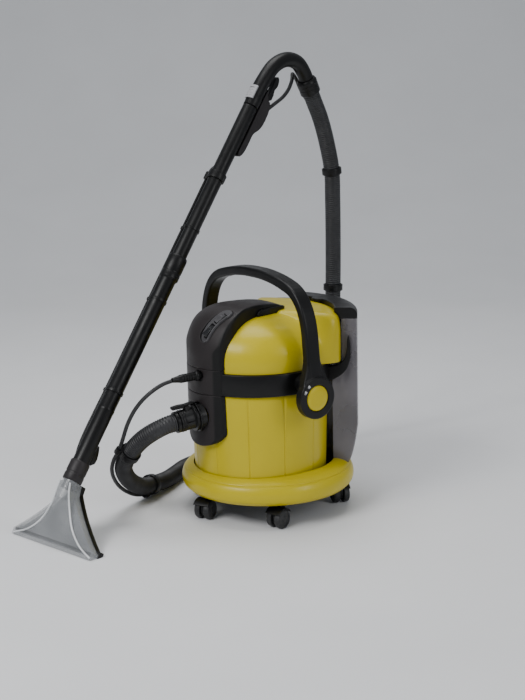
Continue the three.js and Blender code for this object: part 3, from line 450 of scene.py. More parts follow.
def round_rect(w, h, r, x=0.0, y=0.0, n=8):
    points = []
    for cx, cy, start in ((1, -1, -90), (1, 1, 0), (-1, 1, 90), (-1, -1, 180)):
        points += circle(r, x + cx * (w / 2 - r), y + cy * (h / 2 - r), n, start, start + 90)
    return points


def bezier(p0, p1, p2, p3, n=14):
    """Points of a cubic curve, without its first."""
    out = []
    for i in range(1, n + 1):
        t = i / n
        weights = ((1 - t) ** 3, 3 * t * (1 - t) ** 2, 3 * t * t * (1 - t), t ** 3)
        out.append(tuple(sum(w * p[k] for w, p in zip(weights, (p0, p1, p2, p3)))
                         for k in (0, 1)))
    return out


def quadratic(p0, p1, p2, n=12):
    first = tuple(a + 2 / 3 * (b - a) for a, b in zip(p0, p1))
    second = tuple(c + 2 / 3 * (b - c) for b, c in zip(p1, p2))
    return bezier(p0, first, second, p2, n)


def catmull(points, per_span=8, closed=False):
    """Centripetal Catmull-Rom curve through the points."""
    points = [Vector(p) for p in points]
    n = len(points)
    spans = n if closed else n - 1
    out = []
    for i in range(spans):
        if closed:
            p = [points[(i + k - 1) % n] for k in range(4)]
        else:
            p = [points[i - 1] if i else points[0] * 2 - points[1], points[i], points[i + 1],
                 points[i + 2] if i + 2 < n else points[-1] * 2 - points[-2]]
        steps = [max(1e-4, (p[k + 1] - p[k]).length ** 0.5) for k in range(3)]
        t = [0, steps[0], steps[0] + steps[1], sum(steps)]
        for j in range(per_span):
            at = t[1] + (t[2] - t[1]) * j / per_span
            a = [p[k] * ((t[k + 1] - at) / (t[k + 1] - t[k]))
                 + p[k + 1] * ((at - t[k]) / (t[k + 1] - t[k])) for k in range(3)]
            b = [a[k] * ((t[k + 2] - at) / (t[k + 2] - t[k]))
                 + a[k + 1] * ((at - t[k]) / (t[k + 2] - t[k])) for k in range(2)]
            out.append(b[0] * ((t[2] - at) / (t[2] - t[1])) + b[1] * ((at - t[1]) / (t[2] - t[1])))
    if not closed:
        out.append(points[-1].copy())
    return out


def smooth_outline(points, per_span=4):
    return [(p.x, p.y) for p in catmull([(x, y, 0) for x, y in points], per_span, closed=True)]


def smooth_profile(points, per_span=6):
    return [(p.x, p.y) for p in catmull([(x, y, 0) for x, y in points], per_span)]


def walk(points, spacing):
    """The same line with even spacing."""
    lengths = [0.0]
    for a, b in zip(points, points[1:]):
        lengths.append(lengths[-1] + (b - a).length)
    count = max(2, round(lengths[-1] / spacing))
    out, k = [], 0
    for i in range(count + 1):
        at = lengths[-1] * i / count
        while k < len(points) - 2 and lengths[k + 1] < at:
            k += 1
        share = (at - lengths[k]) / max(1e-9, lengths[k + 1] - lengths[k])
        out.append(points[k].lerp(points[k + 1], min(1, share)))
    return out


def tube(line, radius_at, sides=24, matrix=IDENTITY):
    """A round tube with closed ends along a line, with no twist from ring to ring."""
    verts, faces = [], []
    normal = None
    for i, p in enumerate(line):
        along = (line[min(i + 1, len(line) - 1)] - line[max(i - 1, 0)]).normalized()
        if normal is None:
            normal = along.orthogonal()
        normal = (normal - along * normal.dot(along)).normalized()
        other = along.cross(normal)
        r = radius_at(i)
        for k in range(sides):
            turn = 2 * math.pi * k / sides
            verts.append(p + normal * (r * math.cos(turn)) + other * (r * math.sin(turn)))
    for i in range(len(line) - 1):
        a, b = i * sides, (i + 1) * sides
        faces += [[a + k, a + (k + 1) % sides, b + (k + 1) % sides, b + k] for k in range(sides)]
    faces.append(list(range(sides))[::-1])
    faces.append(list(range((len(line) - 1) * sides, len(line) * sides)))
    return solid(verts, faces, matrix)


def piece(o, name, node=None, look=None, stands_for=(), body=None, angle=34, placed=False):
    """Finishes one visible piece: place, shading, material, body and slot."""
    node = node or (stands_for[0] if stands_for else name)
    slot = SLOT_OF.get(node)
    o.name = name
    o.data.name = name
    if not placed:
        o.data.transform(TO_ROW)
    for face in o.data.polygons:
        face.use_smooth = True
    o.data.set_sharp_from_angle(angle=rad(angle))
    o.data.materials.clear()
    o.data.materials.append(look or LOOKS[slot])
    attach(o, body or BODY_OF[node])
    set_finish(o, slot)
    if stands_for:
        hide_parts(*stands_for)
    return o


def recast(node, width=0.0005, angle=30, name=None, smooth_angle=30):
    """A finer copy of a CAD node: flat faces merged, edges broken by a small bevel."""
    o = bpy.data.objects.new("solid", frame["nodes"][node].data.copy())
    bpy.context.scene.collection.objects.link(o)
    bm = bmesh.new()
    bm.from_mesh(o.data)
    bmesh.ops.remove_doubles(bm, verts=bm.verts, dist=2e-6)
    bmesh.ops.dissolve_limit(bm, angle_limit=rad(0.6), verts=bm.verts, edges=bm.edges)
    bmesh.ops.recalc_face_normals(bm, faces=bm.faces)
    bm.to_mesh(o.data)
    bm.free()
    bevel(o, width, 2, angle)
    return piece(o, name or "fine_" + node, node, stands_for=(node,), angle=smooth_angle,
                 placed=True)


# ---------- hoses ----------
SUCTION_ROUTE = [
    (-4.4, -202.3, 210.4), (-6.9, -216, 208.4), (-13, -229, 203), (-24, -241, 194),
    (-39, -252, 181), (-56, -260, 164), (-73, -265, 145), (-90, -266, 126), (-107, -261, 107),
    (-124, -248, 86), (-140, -229, 65), (-155, -205, 47), (-168, -180, 35),
    (-180, -155, 30.2), (-195, -125, 25), (-214, -92, 21), (-240, -54, 19), (-264, -16, 19),
    (-279, 30, 19), (-284, 85, 19), (-281, 145, 20), (-272, 205, 27), (-260, 260, 45),
    (-246, 305, 78), (-234, 338, 125), (-226, 357, 185), (-221, 367, 250), (-219, 370, 330),
    (-219.5, 373, 410), (-220.5, 375, 500), (-220.5, 375, 580), (-220, 373, 640),
    (-217.5, 359, 698.5), (-213.5, 338, 757), (-209.3, 316.8, 797), (-206, 300.1, 828.7),
]
SPRAY_START = [
    (12, -216, 300), (9, -233, 296), (1, -251, 285), (-12, -267, 267), (-27, -278, 244),
    (-45, -284, 214), (-62, -286, 181),
]
SPRAY_END = [
    (-27.5, 770, 822), (-28.5, 757, 845), (-21, 737, 857), (-9, 722, 846), (-3, 704, 827),
    (0, 682, 811.5), (0, 655, 798.6), (0, 625, 784.6), (0, 616, 780.4),
]
LIES_TOWARDS = [
    (6, (-0.1, -0.85, 0.5)), (9, (-0.45, -0.75, -0.45)), (11, (-0.5, -0.45, -0.75)),
    (13, (-0.4, -0.2, -0.9)), (16, (-0.8, -0.35, -0.62)), (20, (-0.8, 0, -0.6)),
    (23, (-0.9, 0.3, -0.2)), (26, (-1, 0.3, 0)), (33, (-1, 0.3, 0)),
]
SPACING = 24
CLIP_POINTS = [6, 13, 27.6, 31]
HOSE_R = 18
SPRAY_R = 4
PER_SPAN = 20

WAND = (Matrix.Translation((-60, -451, 0)) @ Matrix.Rotation(rad(11), 4, "Z"))
SHAFT = WAND @ Matrix.Translation((0, 54, 117)) @ Matrix.Rotation(-rad(37.7), 4, "X")
HOOD = WAND @ Matrix.Translation((0, 8, 0)) @ Matrix.Rotation(-rad(28.3), 4, "X")

suction_line = catmull(SUCTION_ROUTE, PER_SPAN)


def hose_frame(index):
    """Point of the suction hose, the way along it, and the way to the spray hose."""
    k = min(round(index * PER_SPAN), len(suction_line) - 1)
    along = (suction_line[min(k + 1, len(suction_line) - 1)]
             - suction_line[max(k - 1, 0)]).normalized()
    after = max(1, next(i for i, (at, _) in enumerate(LIES_TOWARDS) if at >= index))
    (start, side), (end, following) = LIES_TOWARDS[after - 1:after + 1]
    across = Vector(side).lerp(Vector(following), (index - start) / (end - start))
    across = (across - along * across.dot(along)).normalized()
    return suction_line[k], along, across


def spray_points():
    beside = []
    for index in range(6, 34):
        at, _, across = hose_frame(index)
        beside.append(at + across * SPACING)
    return SPRAY_START + beside + [WAND @ Vector(p) for p in SPRAY_END]


def make_suction_hose():
    pitch = 4.6
    line = walk(suction_line, pitch / 4)
    depths = (0.0, 0.75, 1.25, 0.75)
    hose = tube(line, lambda i: HOSE_R - depths[i % 4], 26)
    piece(hose, "ribbed_suction_hose", "suction_hose", stands_for=("suction_hose",), angle=60)
    path = walk(suction_line, 12)
    return hose, path


def make_spray_hose():
    fine = catmull(spray_points(), 10)
    line = walk(fine, 4)
    hose = tube(line, lambda i: SPRAY_R, 14)
    piece(hose, "slim_spray_hose", "spray_hose", stands_for=("spray_hose",), angle=60)
    return hose, walk(fine, 8)


def make_clip(number, index):
    at, along, across = hose_frame(index)
    matrix = Matrix((across, along.cross(across), along)).transposed().to_4x4()
    matrix.translation = at
    body = join(ring(HOSE_R + 0.6, HOSE_R + 3.8, -7, 7, 56, matrix, 1.0),
                ring(SPRAY_R + 0.8, SPRAY_R + 3.6, -7, 7, 32,
                     matrix @ Matrix.Translation((SPACING, 0, 0)), 0.9))
    screw = disc(2.2, 0, 1.2, 20, matrix @ Matrix.Translation((-HOSE_R - 3.2, 0, 0))
                 @ Matrix.Rotation(rad(-90), 4, "Y"))
    body = join(body, screw)
    name = f"hose_clip_{number}"
    return piece(body, "fine_" + name, name, stands_for=(name,))


suction_hose, suction_path = make_suction_hose()
spray_hose, spray_path = make_spray_hose()
clips = [make_clip(i + 1, at) for i, at in enumerate(CLIP_POINTS)]


# ---------- base and casters ----------
BASE_R, BASE_Y = 176, 18
TANK = {"half": 42, "y": 20, "r": 185, "inner": 149, "upper": 168, "bottom": 84, "top": 390}
TANK_PIVOT_Y = 176
VALVE_Y = 160


def wedge(z0, z1, spread=0.0, matrix=IDENTITY):
    half = rad(TANK["half"]) + spread / 180
    reach = 260
    outline = [(0, 0), (reach * math.sin(half), reach * math.cos(half)), (0, reach * 1.4),
               (-reach * math.sin(half), reach * math.cos(half))]
    return prism(outline, z0, z1, matrix)


def tank_solid(grow, z1, matrix=IDENTITY, segments=128):
    r, bottom = TANK["r"], TANK["bottom"]
    foot = smooth_profile([
        (150 + grow, bottom - grow), (159 + grow, bottom + 0.8 - grow),
        (168 + grow, bottom + 12 - grow), (177 + grow, bottom + 40 - grow),
        (r + grow, bottom + 86 - grow)], 5)
    profile = [(0, bottom - grow)] + foot + [(r + grow, z1), (0, z1)]
    outside = revolve(profile, segments, matrix @ Matrix.Translation((0, TANK["y"], 0)))
    keep(outside, wedge(bottom - 20, z1 + 20, grow, matrix))
    return cut(outside, disc(TANK["inner"] - grow, bottom - 30, z1 + 30, segments, matrix))


def make_skirt():
    outer = smooth_profile([(166, 49), (173.5, 57), (BASE_R, 70), (174, 80), (168, 89.5),
                            (158, 96.5), (145, 100.3), (137, 101)], 12)
    outer = [(r - 1.9 * math.exp(-((z - 88) / 1.2) ** 2), z) for r, z in outer]
    inner = smooth_profile([(137, 98), (144, 97.3), (156.5, 93.7), (166, 87.4), (171.2, 79),
                            (173, 70), (170.6, 58.5), (162.5, 49)], 5)
    inner = [(r - 1.2, z) for r, z in inner[1:]]
    profile = outer + [(137, 98)] + inner
    shell = revolve(profile, 144, Matrix.Translation((0, BASE_Y, 0)), loop=True)
    for degrees in (0, 6, 12):
        pivot = Matrix.Translation((0, TANK_PIVOT_Y, TANK["bottom"]))
        tip = pivot @ Matrix.Rotation(-rad(degrees), 4, "X") @ pivot.inverted()
        cut(shell, tank_solid(1.2, 140, tip, 72))
    cut(shell, disc(136.6, 40, 120, 128), block(24, 28, 40, 0, VALVE_Y + 2, 94))
    piece(shell, "skirt", stands_for=("base_skirt",), angle=40)


def make_pan():
    recast("base_pan", 0.0006)


def make_casters():
    casters = [((-4, -136), 205), ((132, -56), 194), ((90, 134), 250), ((-90, 134), 110),
               ((-132, -56), 166)]
    wheel_r, wheel_t, trail, wheel_x = 19, 13, 14, 4
    half = wheel_x + wheel_t + 0.6
    fin_outline = [(-4, 28), (2, 14), (trail - 5, 6), (trail + 5, 6), (trail + 13, 14),
                   (trail + 14, 26), (trail + 8, 37), (6, 45), (-4, 45)]
    yoke = across_x(smooth_outline(fin_outline, 3), -3, 3)
    hood = across_x(circle(wheel_r + 3.8, trail, wheel_r, 72), -half, half)
    cut(hood, across_x(circle(wheel_r + 1.5, trail, wheel_r, 72), -99, 99))
    keep(hood, block(99, 42, 18, 0, trail + 3, 40.2))
    join(yoke, hood, bar((0, 0, 40), (0, 0, 50), 8), block(9, 12, 5, 0, 4, 43.2))
    cut(yoke, bar((-9, trail, wheel_r), (9, trail, wheel_r), 3.4))
    soften(yoke, 0.75, 3)
    tread = [(0, 0), (wheel_r - 2.5, 0), (wheel_r - 1, 0.4), (wheel_r, 1.5),
             (wheel_r, wheel_t - 3.6), (wheel_r - 1.1, wheel_t - 1.3), (wheel_r - 3.4, wheel_t),
             (wheel_r - 5.2, wheel_t), (wheel_r - 5.6, wheel_t - 1.4),
             (wheel_r - 9, wheel_t - 1.8), (6, wheel_t - 1.5), (4.6, wheel_t - 0.4),
             (0, wheel_t - 0.2)]
    axle_at = Matrix.Translation((0, trail, wheel_r))
    wheels = None
    for side in (1, -1):
        turn = Matrix.Rotation(rad(90 * side), 4, "Y")
        disc_wheel = revolve(tread, 72, axle_at @ Matrix.Translation((side * wheel_x, 0, 0)) @ turn)
        wheels = disc_wheel if wheels is None else join(wheels, disc_wheel)
    join(wheels, bar((-wheel_x - 2, trail, wheel_r), (wheel_x + 2, trail, wheel_r), 3))
    for i, ((x, y), yaw) in enumerate(casters):
        stem_x = x + trail * math.sin(rad(yaw))
        stem_y = y - trail * math.cos(rad(yaw))
        matrix = Matrix.Translation((stem_x, stem_y, 0)) @ Matrix.Rotation(rad(yaw), 4, "Z")
        name = f"caster_yoke_{i + 1}"
        piece(copy_of(yoke, matrix), "fine_" + name, name, stands_for=(name,), angle=50)
        name = f"caster_wheels_{i + 1}"
        piece(copy_of(wheels, matrix), "fine_" + name, name, stands_for=(name,), angle=30)
    bpy.data.objects.remove(yoke)
    bpy.data.objects.remove(wheels)


make_skirt()
make_pan()
make_casters()


# ---------- container ----------
def groove_turns():
    """Turns about the container, closer together at its twelve upright grooves."""
    turns = []
    for k in range(12):
        middle = 15 + 30 * k
        for step in (-0.62, -0.4, -0.2, 0, 0.2, 0.4, 0.62):
            turns.append((middle + step, 1 - (abs(step) / 0.62) ** 2))
        turns += [(middle + 15 + s, 0.0) for s in (-12, -9, -6, -3, 0, 3, 6, 9, 12)]
    return sorted((t % 360, depth) for t, depth in turns)


def make_container():
    outside = [(0, 57), (124, 57), (129, 58), (132, 62), (133.1, 70), (134, 100), (136.3, 182),
               (138, 255), (138.2, 261), (137, 263)]
    inside = [(135, 263), (135, 256), (131, 100), (128, 66), (122, 60), (0, 60)]
    turns = groove_turns()
    n = len(turns)
    verts, rows = [], []
    for k, (r, z) in enumerate(outside + inside):
        if r == 0:
            rows.append([len(verts)] * n)
            verts.append((0, 0, z))
            continue
        rows.append(list(range(len(verts), len(verts) + n)))
        deep = 1.0 if k < len(outside) and 68 < z < 258 else 0.0
        for turn, share in turns:
            reach = r - 1.1 * deep * share
            verts.append((reach * math.sin(rad(turn)), -reach * math.cos(rad(turn)), z))
    faces = []
    for a, b in zip(rows, rows[1:]):
        for i in range(n):
            j = (i + 1) % n
            face = list(dict.fromkeys((a[i], a[j], b[j], b[i])))
            if len(face) > 2:
                faces.append(face)
    tub = solid(verts, faces)
    piece(tub, "container", "dirty_water_container", stands_for=("dirty_water_container",),
          angle=50)


make_container()
recast("container_seal", 0.0006)


# ---------- head ----------
DOME_ROWS = [(137, 308), (137, 334), (133, 352), (121, 372), (100, 389), (72, 400), (36, 406),
             (0, 407)]
SHOULDER_R = TANK["upper"] - 1.6
SHOULDER_ROWS = [(SHOULDER_R, 308), (SHOULDER_R, 350), (SHOULDER_R - 1, 378),
                 (SHOULDER_R - 6, 397), (147, 405), (110, 409), (60, 410), (0, 407)]
SHOULDER_FROM, SHOULDER_TO = 50, 64


def dome_grid(inset, segments=144, per_span=5):
    dome = smooth_profile(DOME_ROWS, per_span)
    rear = smooth_profile(SHOULDER_ROWS, per_span)
    rows = []
    for k, ((r0, z0), (r1, z1)) in enumerate(zip(dome, rear)):
        row = []
        for i in range(segments):
            turn = 2 * math.pi * i / segments
            sx, sy = math.sin(turn), -math.cos(turn)
            from_rear = math.degrees(math.acos(max(-1, min(1, sy))))
            t = max(0, min(1, (from_rear - SHOULDER_FROM) / (SHOULDER_TO - SHOULDER_FROM)))
            share = 1 - t * t * (3 - 2 * t)
            r = max(0, r0 + (r1 - r0) * share - inset)
            z = z0 + (z1 - z0) * share - (inset if k > per_span else 0)
            row.append((r * sx, r * sy, z))
        rows.append(row)
    return rows


def dome_solid(inset, z0):
    """The dome's outside as a solid standing on the level z0."""
    rows = dome_grid(inset, 96, 3)
    n = len(rows[0])
    verts = [p for row in rows[:-1] for p in row]
    verts[:n] = [(x, y, z0) for x, y, _ in verts[:n]]
    top, low = len(verts), len(verts) + 1
    verts += [(0, 0, 407 - inset), (0, 0, z0)]
    faces = []
    for k in range(len(rows) - 2):
        a, b = k * n, (k + 1) * n
        faces += [[a + i, a + (i + 1) % n, b + (i + 1) % n, b + i] for i in range(n)]
    last = (len(rows) - 2) * n
    faces += [[last + i, last + (i + 1) % n, top] for i in range(n)]
    faces += [[(i + 1) % n, i, low] for i in range(n)]
    return solid(verts, faces)


def make_dome():
    outside, inside = dome_grid(0), dome_grid(3)
    n = len(outside[0])
    verts, faces = [], []
    for rows in (outside, inside):
        base = len(verts)
        for row in rows[:-1]:
            verts += row
        verts.append((0, 0, rows[-1][0][2]))
        count = len(rows) - 1
        for k in range(count - 1):
            a, b = base + k * n, base + (k + 1) * n
            faces += [[a + i, a + (i + 1) % n, b + (i + 1) % n, b + i] for i in range(n)]
        last, pole = base + (count - 1) * n, base + count * n
        faces += [[last + i, last + (i + 1) % n, pole] for i in range(n)]
    start = (len(outside) - 1) * n + 1
    faces += [[i, (i + 1) % n, start + (i + 1) % n, start + i] for i in range(n)]
    piece(solid(verts, faces), "dome", stands_for=("dome_cover",), angle=50)


make_dome()

SPINE_HALF, FRONT_Y, EDGE_Y = 60, -152, -132
BLOCK_TOP, BAND_LOW, BAND_HIGH = 314, 264, 307.5
PLUG_X, PLUG_Z = 12, 301
PANEL_AT, PANEL_SLANT, PANEL_LENGTH, PANEL_WIDTH = (27, -123, 402.5), 14, 82, 27
ROCKERS = {"vacuum_switch": (-17, 27, 13), "pump_switch": (15, 22, 13)}
ROCKER_OFFSET = 3
ON_PANEL = (Matrix.Translation(PANEL_AT) @ Matrix.Rotation(rad(45), 4, "X")
            @ Matrix.Rotation(rad(-PANEL_SLANT), 4, "Z"))


def spine_plan():
    w = SPINE_HALF
    sagitta = EDGE_Y - FRONT_Y
    r = (w * w + sagitta * sagitta) / (2 * sagitta)
    half = math.degrees(math.asin(w / r))
    points = circle(r, 0, FRONT_Y + r, 28, -90 - half, -90 + half)
    points.append((w, -104))
    points += bezier((w, -104), (w - 4, -84), (44, -62), (40, -30))
    points += [(35, 40), (-35, 40), (-40, -30)]
    points += bezier((-40, -30), (-44, -62), (4 - w, -84), (-w, -104))
    return points


def spine_side():
    top = smooth_profile([
        (-152.5, BLOCK_TOP - 14), (-152.3, 334), (-150.3, 353), (-145.5, 372), (-136.5, 391),
        (-122, 408.5), (-103.5, 420), (-80, 426.8), (-50, 429.2), (-20, 428.6), (8, 426),
        (26, 423), (36, 419.5)], 5)
    hook = smooth_profile([(36, 419.5), (41, 415), (42, 409), (36, 403)], 4)[1:]
    return top + hook + [(22, 390), (-50, 340), (-50, BLOCK_TOP - 14)]


def spine_blank():
    """The arch before its pockets: its side view, drawn in towards both edges."""
    profile = spine_side()
    n, steps = len(profile), 29
    verts = []
    for k in range(steps):
        x = -70 + 5 * k
        for y, z in profile:
            forward = max(0, min(1, (-y - 60) / 80))
            inset = (5 + 11 * forward) * (x / SPINE_HALF) ** 2
            reach = Vector((y + 60, z - 335))
            share = 1 - inset / max(60, reach.length)
            verts.append((x, reach.x * share - 60, reach.y * share + 335))
    faces = [list(range(n)), list(range((steps - 1) * n, steps * n))[::-1]]
    for k in range(steps - 1):
        faces += [[k * n + i, k * n + (i + 1) % n, (k + 1) * n + (i + 1) % n, (k + 1) * n + i]
                  for i in range(n)]
    return keep(solid(verts, faces), prism(spine_plan(), 290, 440))


def rocker_dip(along):
    return -(along * along) / 150


def rocker_pocket(name, spare=0.0):
    along, length, width = ROCKERS[name]
    dip = rocker_dip(along)
    outline = round_rect(width + 2 - spare, length + 4 - spare, 1.5, ROCKER_OFFSET, along, 4)
    return prism(outline, dip - 9, dip + 30, ON_PANEL)


def oval_plate(grow, low, high):
    steps = [-1 + 0.1 * i for i in range(21)]
    reach = PANEL_LENGTH / 2 + 4
    lower = [(s * reach, rocker_dip(s * reach) + low) for s in steps]
    upper = [(s * reach, rocker_dip(s * reach) + high) for s in steps[::-1]]
    arc = across_x(lower + upper, -30, 30, ON_PANEL)
    half = PANEL_WIDTH / 2 + grow
    oval = prism(round_rect(2 * half, PANEL_LENGTH + 2 * grow, half - 0.1, n=14), -60, 60,
                 ON_PANEL)
    return keep(arc, oval)


def make_spine_upper():
    body = spine_blank()
    soften(body, 1.3, 44)
    cut(body, dome_solid(1.0, 280), block(160, 260, 60, 0, -80, BLOCK_TOP + 0.4 - 30))
    cut(body, oval_plate(0.35, -4.4, 30), *[rocker_pocket(name) for name in ROCKERS])
    soften(body, 1.0, 2)
    piece(body, "spine_arch", look=SPINE_LOOK, stands_for=("spine_upper",), angle=60)


def make_nose():
    """Black hooked tip under the end of the arch."""
    side = smooth_outline([(-30, 400), (10, 404), (30, 402), (43, 398), (51, 402), (51, 410),
                           (43, 416.5), (12, 418), (-26, 415)], 4)
    nose = across_x(side, -44, 44)
    keep(nose, prism(smooth_outline([(-44, -30), (44, -30), (40, 16), (34, 42), (22, 51),
                                     (-22, 51), (-34, 42), (-40, 16)], 5), 380, 440))
    cut(nose, dome_solid(-0.3, 300))
    soften(nose, 1.0, 6)
    piece(nose, "spine_nose", "head_frame", body="machine", angle=60)


def make_switches():
    plate = cut(oval_plate(0, -4, 1.8), *[rocker_pocket(name) for name in ROCKERS])
    soften(plate, 0.6, 3)
    piece(plate, "switch_bezel", stands_for=("switch_panel",), angle=50)
    for name, (along, length, width) in ROCKERS.items():
        dip = rocker_dip(along)
        outline = smooth_profile([
            (along + length / 2, 2.6 + dip), (along + length / 6, 3.5 + dip),
            (along - length / 6, 3.3 + dip), (along - length / 2, 5 + dip)], 5)
        outline += [(along - length / 2, -5 + dip), (along + length / 2, -5 + dip)]
        rocker = across_x(outline[::-1], ROCKER_OFFSET - width / 2, ROCKER_OFFSET + width / 2,
                          ON_PANEL)
        bevel(rocker, 0.7, 3, 40)
        mark_at = along + length * 0.28
        mark = disc(1.5, dip + 3.0, dip + 3.7, 20,
                    ON_PANEL @ Matrix.Translation((ROCKER_OFFSET, mark_at, 0)))
        join(rocker, mark)
        piece(rocker, "rocker_" + name.split("_")[0], name, stands_for=(name,), angle=40)


def make_spine_middle():
    body = prism(spine_plan(), BAND_LOW - 20, BLOCK_TOP + 20)
    soften(body, 1.3, 44)
    keep(body, block(130, 50, BLOCK_TOP - BAND_LOW, 0, -137, (BLOCK_TOP + BAND_LOW) / 2))
    cut(body, bar((PLUG_X, -141, PLUG_Z), (PLUG_X, -190, PLUG_Z), 7.4),
        bar((PLUG_X, -148, PLUG_Z), (PLUG_X, -170, PLUG_Z), 10.8), dome_solid(-0.35, 307.6))
    soften(body, 1.0, 3)
    piece(body, "spine_middle", "spine_lower", SPINE_LOOK, body="machine", angle=60)


def make_spine_lower():
    wide, lowest = SPINE_HALF + 8, 156
    outline = [(-wide, BAND_LOW + 14), (-wide, lowest + 50)]
    outline += [(wide * math.cos(rad(180 + 5 * i)), lowest + 50 + 50 * math.sin(rad(180 + 5 * i)))
                for i in range(1, 36)]
    outline += [(wide, lowest + 50), (wide, BAND_LOW + 14)]
    front = along_y(outline, -170, -60)
    plan = join(prism(spine_plan(), 140, 290),
                prism([(-60, EDGE_Y), (60, EDGE_Y), (69, -90), (-69, -90)], 140, 290))
    keep(front, plan)
    soften(front, 1.3, 30)
    cut(front, block(200, 200, 40, 0, -100, BAND_LOW - 0.4 + 20))
    tub = revolve([(0, 90), (134.4, 90), (139, 264), (139, 270), (0, 270)], 128)
    cut(front, tub, tube_y(0, 27, 30, -30), tube_y(0, 31, -4.4, -30))
    soften(front, 1.0, 2)
    piece(front, "spine_foot", look=SPINE_LOOK, stands_for=("spine_lower",), angle=60)


# ---------- hose inlet ----------
INLET = (Matrix.Translation((5, -149, 218)) @ Matrix.Rotation(rad(-10), 4, "Z")
         @ Matrix.Rotation(rad(8), 4, "X"))


def tube_y(r0, r1, y0, y1, segments=72, round_mm=0.0):
    """A tube of the inlet, from y0 to y1 along its own Y."""
    turn = INLET @ facing_front(0, y0, 0)
    if r0 > 0:
        return ring(r0, r1, 0, y0 - y1, segments, turn, round_mm)
    return disc(r1, 0, y0 - y1, segments, turn)


def make_inlet():
    socket = join(tube_y(22.5, 26.6, 6, -9), tube_y(22.5, 30.3, -5, -9.5, round_mm=1.0))
    cut(socket, block(14, 30, 12, 0, 0, 29, INLET))
    piece(socket, "inlet_socket", stands_for=("hose_socket",))
    coupling = join(tube_y(17.6, 22, 4, -14), tube_y(17.6, 27.8, -10, -16, round_mm=1.2),
                    tube_y(17.6, 21.4, -15, -53.5, round_mm=1.0))
    for k in range(3):
        join(coupling, tube_y(19, 22.3, -45 + 5 * k, -47.5 + 5 * k, round_mm=0.9))
    join(coupling, block(16, 9, 9, 0, -25, 23, INLET))
    cut(coupling, block(10.8, 20, 12, 0, -27, 28.6, INLET))
    piece(coupling, "bayonet_coupling", stands_for=("hose_coupling",))
    recast("coupling_latch", 0.0009, 25)
    x, z = PLUG_X, PLUG_Z
    outline = [(0, 0), (6.6, 0), (6.6, 12.2), (9.2, 12.6), (10, 13.6), (10, 18.4), (9.2, 19.6),
               (8.4, 20.2)]
    for k in range(5):
        outline += [(8.4, 24 + 6 * k), (7.3, 24.6 + 6 * k), (7.3, 25.8 + 6 * k),
                    (8.4, 26.4 + 6 * k)]
    outline += [(8.2, 54), (7.2, 56), (6.4, 61), (5.4, 67), (4.8, 72.2), (0, 72.2)]
    plug = revolve(outline, 48, facing_front(x, -142, z))
    return piece(plug, "pump_plug", stands_for=("spray_plug",), angle=50)


make_spine_upper()
make_nose()
make_switches()
make_spine_middle()
make_spine_lower()
spray_plug = make_inlet()


# ---------- band, handle bosses and tank fingers ----------
PIVOT_Z = 264
FACE_X, HANDLE_THICK, HANDLE_WIDTH = 193, 17, 31
HUB_R, CAP_POCKET_R, PIN_HOLE_R = 41, 25.8, 11


def make_band():
    profile = [(20, 284), (126, 284), (126, BAND_LOW), (142, BAND_LOW), (143.4, BAND_LOW + 0.6),
               (144, BAND_LOW + 2), (144, BAND_HIGH - 2), (143.4, BAND_HIGH - 0.6),
               (142, BAND_HIGH), (126, BAND_HIGH), (126, 288), (20, 288)]
    band = revolve(profile, 160, loop=True)
    piece(band, "head_band", stands_for=("head_frame",), angle=35)


def make_boss(side):
    x, z = FACE_X - HANDLE_THICK, PIVOT_Z
    boss = join(bar((side * (x - 8), 0, z), (side * (x + 9), 0, z), 10),
                bar((side * 140, 0, z + 22), (side * (x - 7), 0, z + 22), 18, 48),
                block(10, 36, 42, side * (x - 10.6), 0, z + 3))
    cut(boss, revolve([(0, 200), (140, 200), (140, BAND_LOW), (143, BAND_LOW), (143, 330),
                       (0, 330)], 96))
    soften(boss, 0.8, 3)
    piece(boss, f"handle_boss_{'right' if side > 0 else 'left'}", "head_frame", angle=60)


def make_finger(side):
    face = smooth_outline([(139, 266), (162, 274), (178, 289), (185, 308), (186.5, 334),
                           (185, 350), (182.5, 358), (180, 350), (179, 330), (174, 311),
                           (161, 299), (139, 292)], 6)
    turn = Matrix.Rotation(rad(90 - TANK["half"] - 0.9), 4, "Z")
    flip = MIRROR_X if side < 0 else IDENTITY
    blade = along_y(face, -9, -1.2, flip @ turn)
    soften(blade, 0.7, 3)
    piece(blade, f"tank_finger_{'right' if side > 0 else 'left'}", "head_frame", angle=60)


make_band()
for side in (1, -1):
    make_boss(side)
    make_finger(side)


# ---------- carrying handle ----------
def handle_outline(inset):
    top = 495 - inset
    x = FACE_X
    right = bezier((x - inset, 268), (190 - inset, 300), (184 - inset, 330), (180 - inset, 380))
    right += bezier((180 - inset, 380), (174 - inset, 431), (153 - inset, 469 - inset * 0.7),
                    (108 - inset * 0.3, 481 - inset))
    right += quadratic((108 - inset * 0.3, 481 - inset), (56, top + 1), (0, top))
    return [(x - inset, 268)] + right + [(-a, b) for a, b in right[-2::-1]] + [(inset - x, 268)]


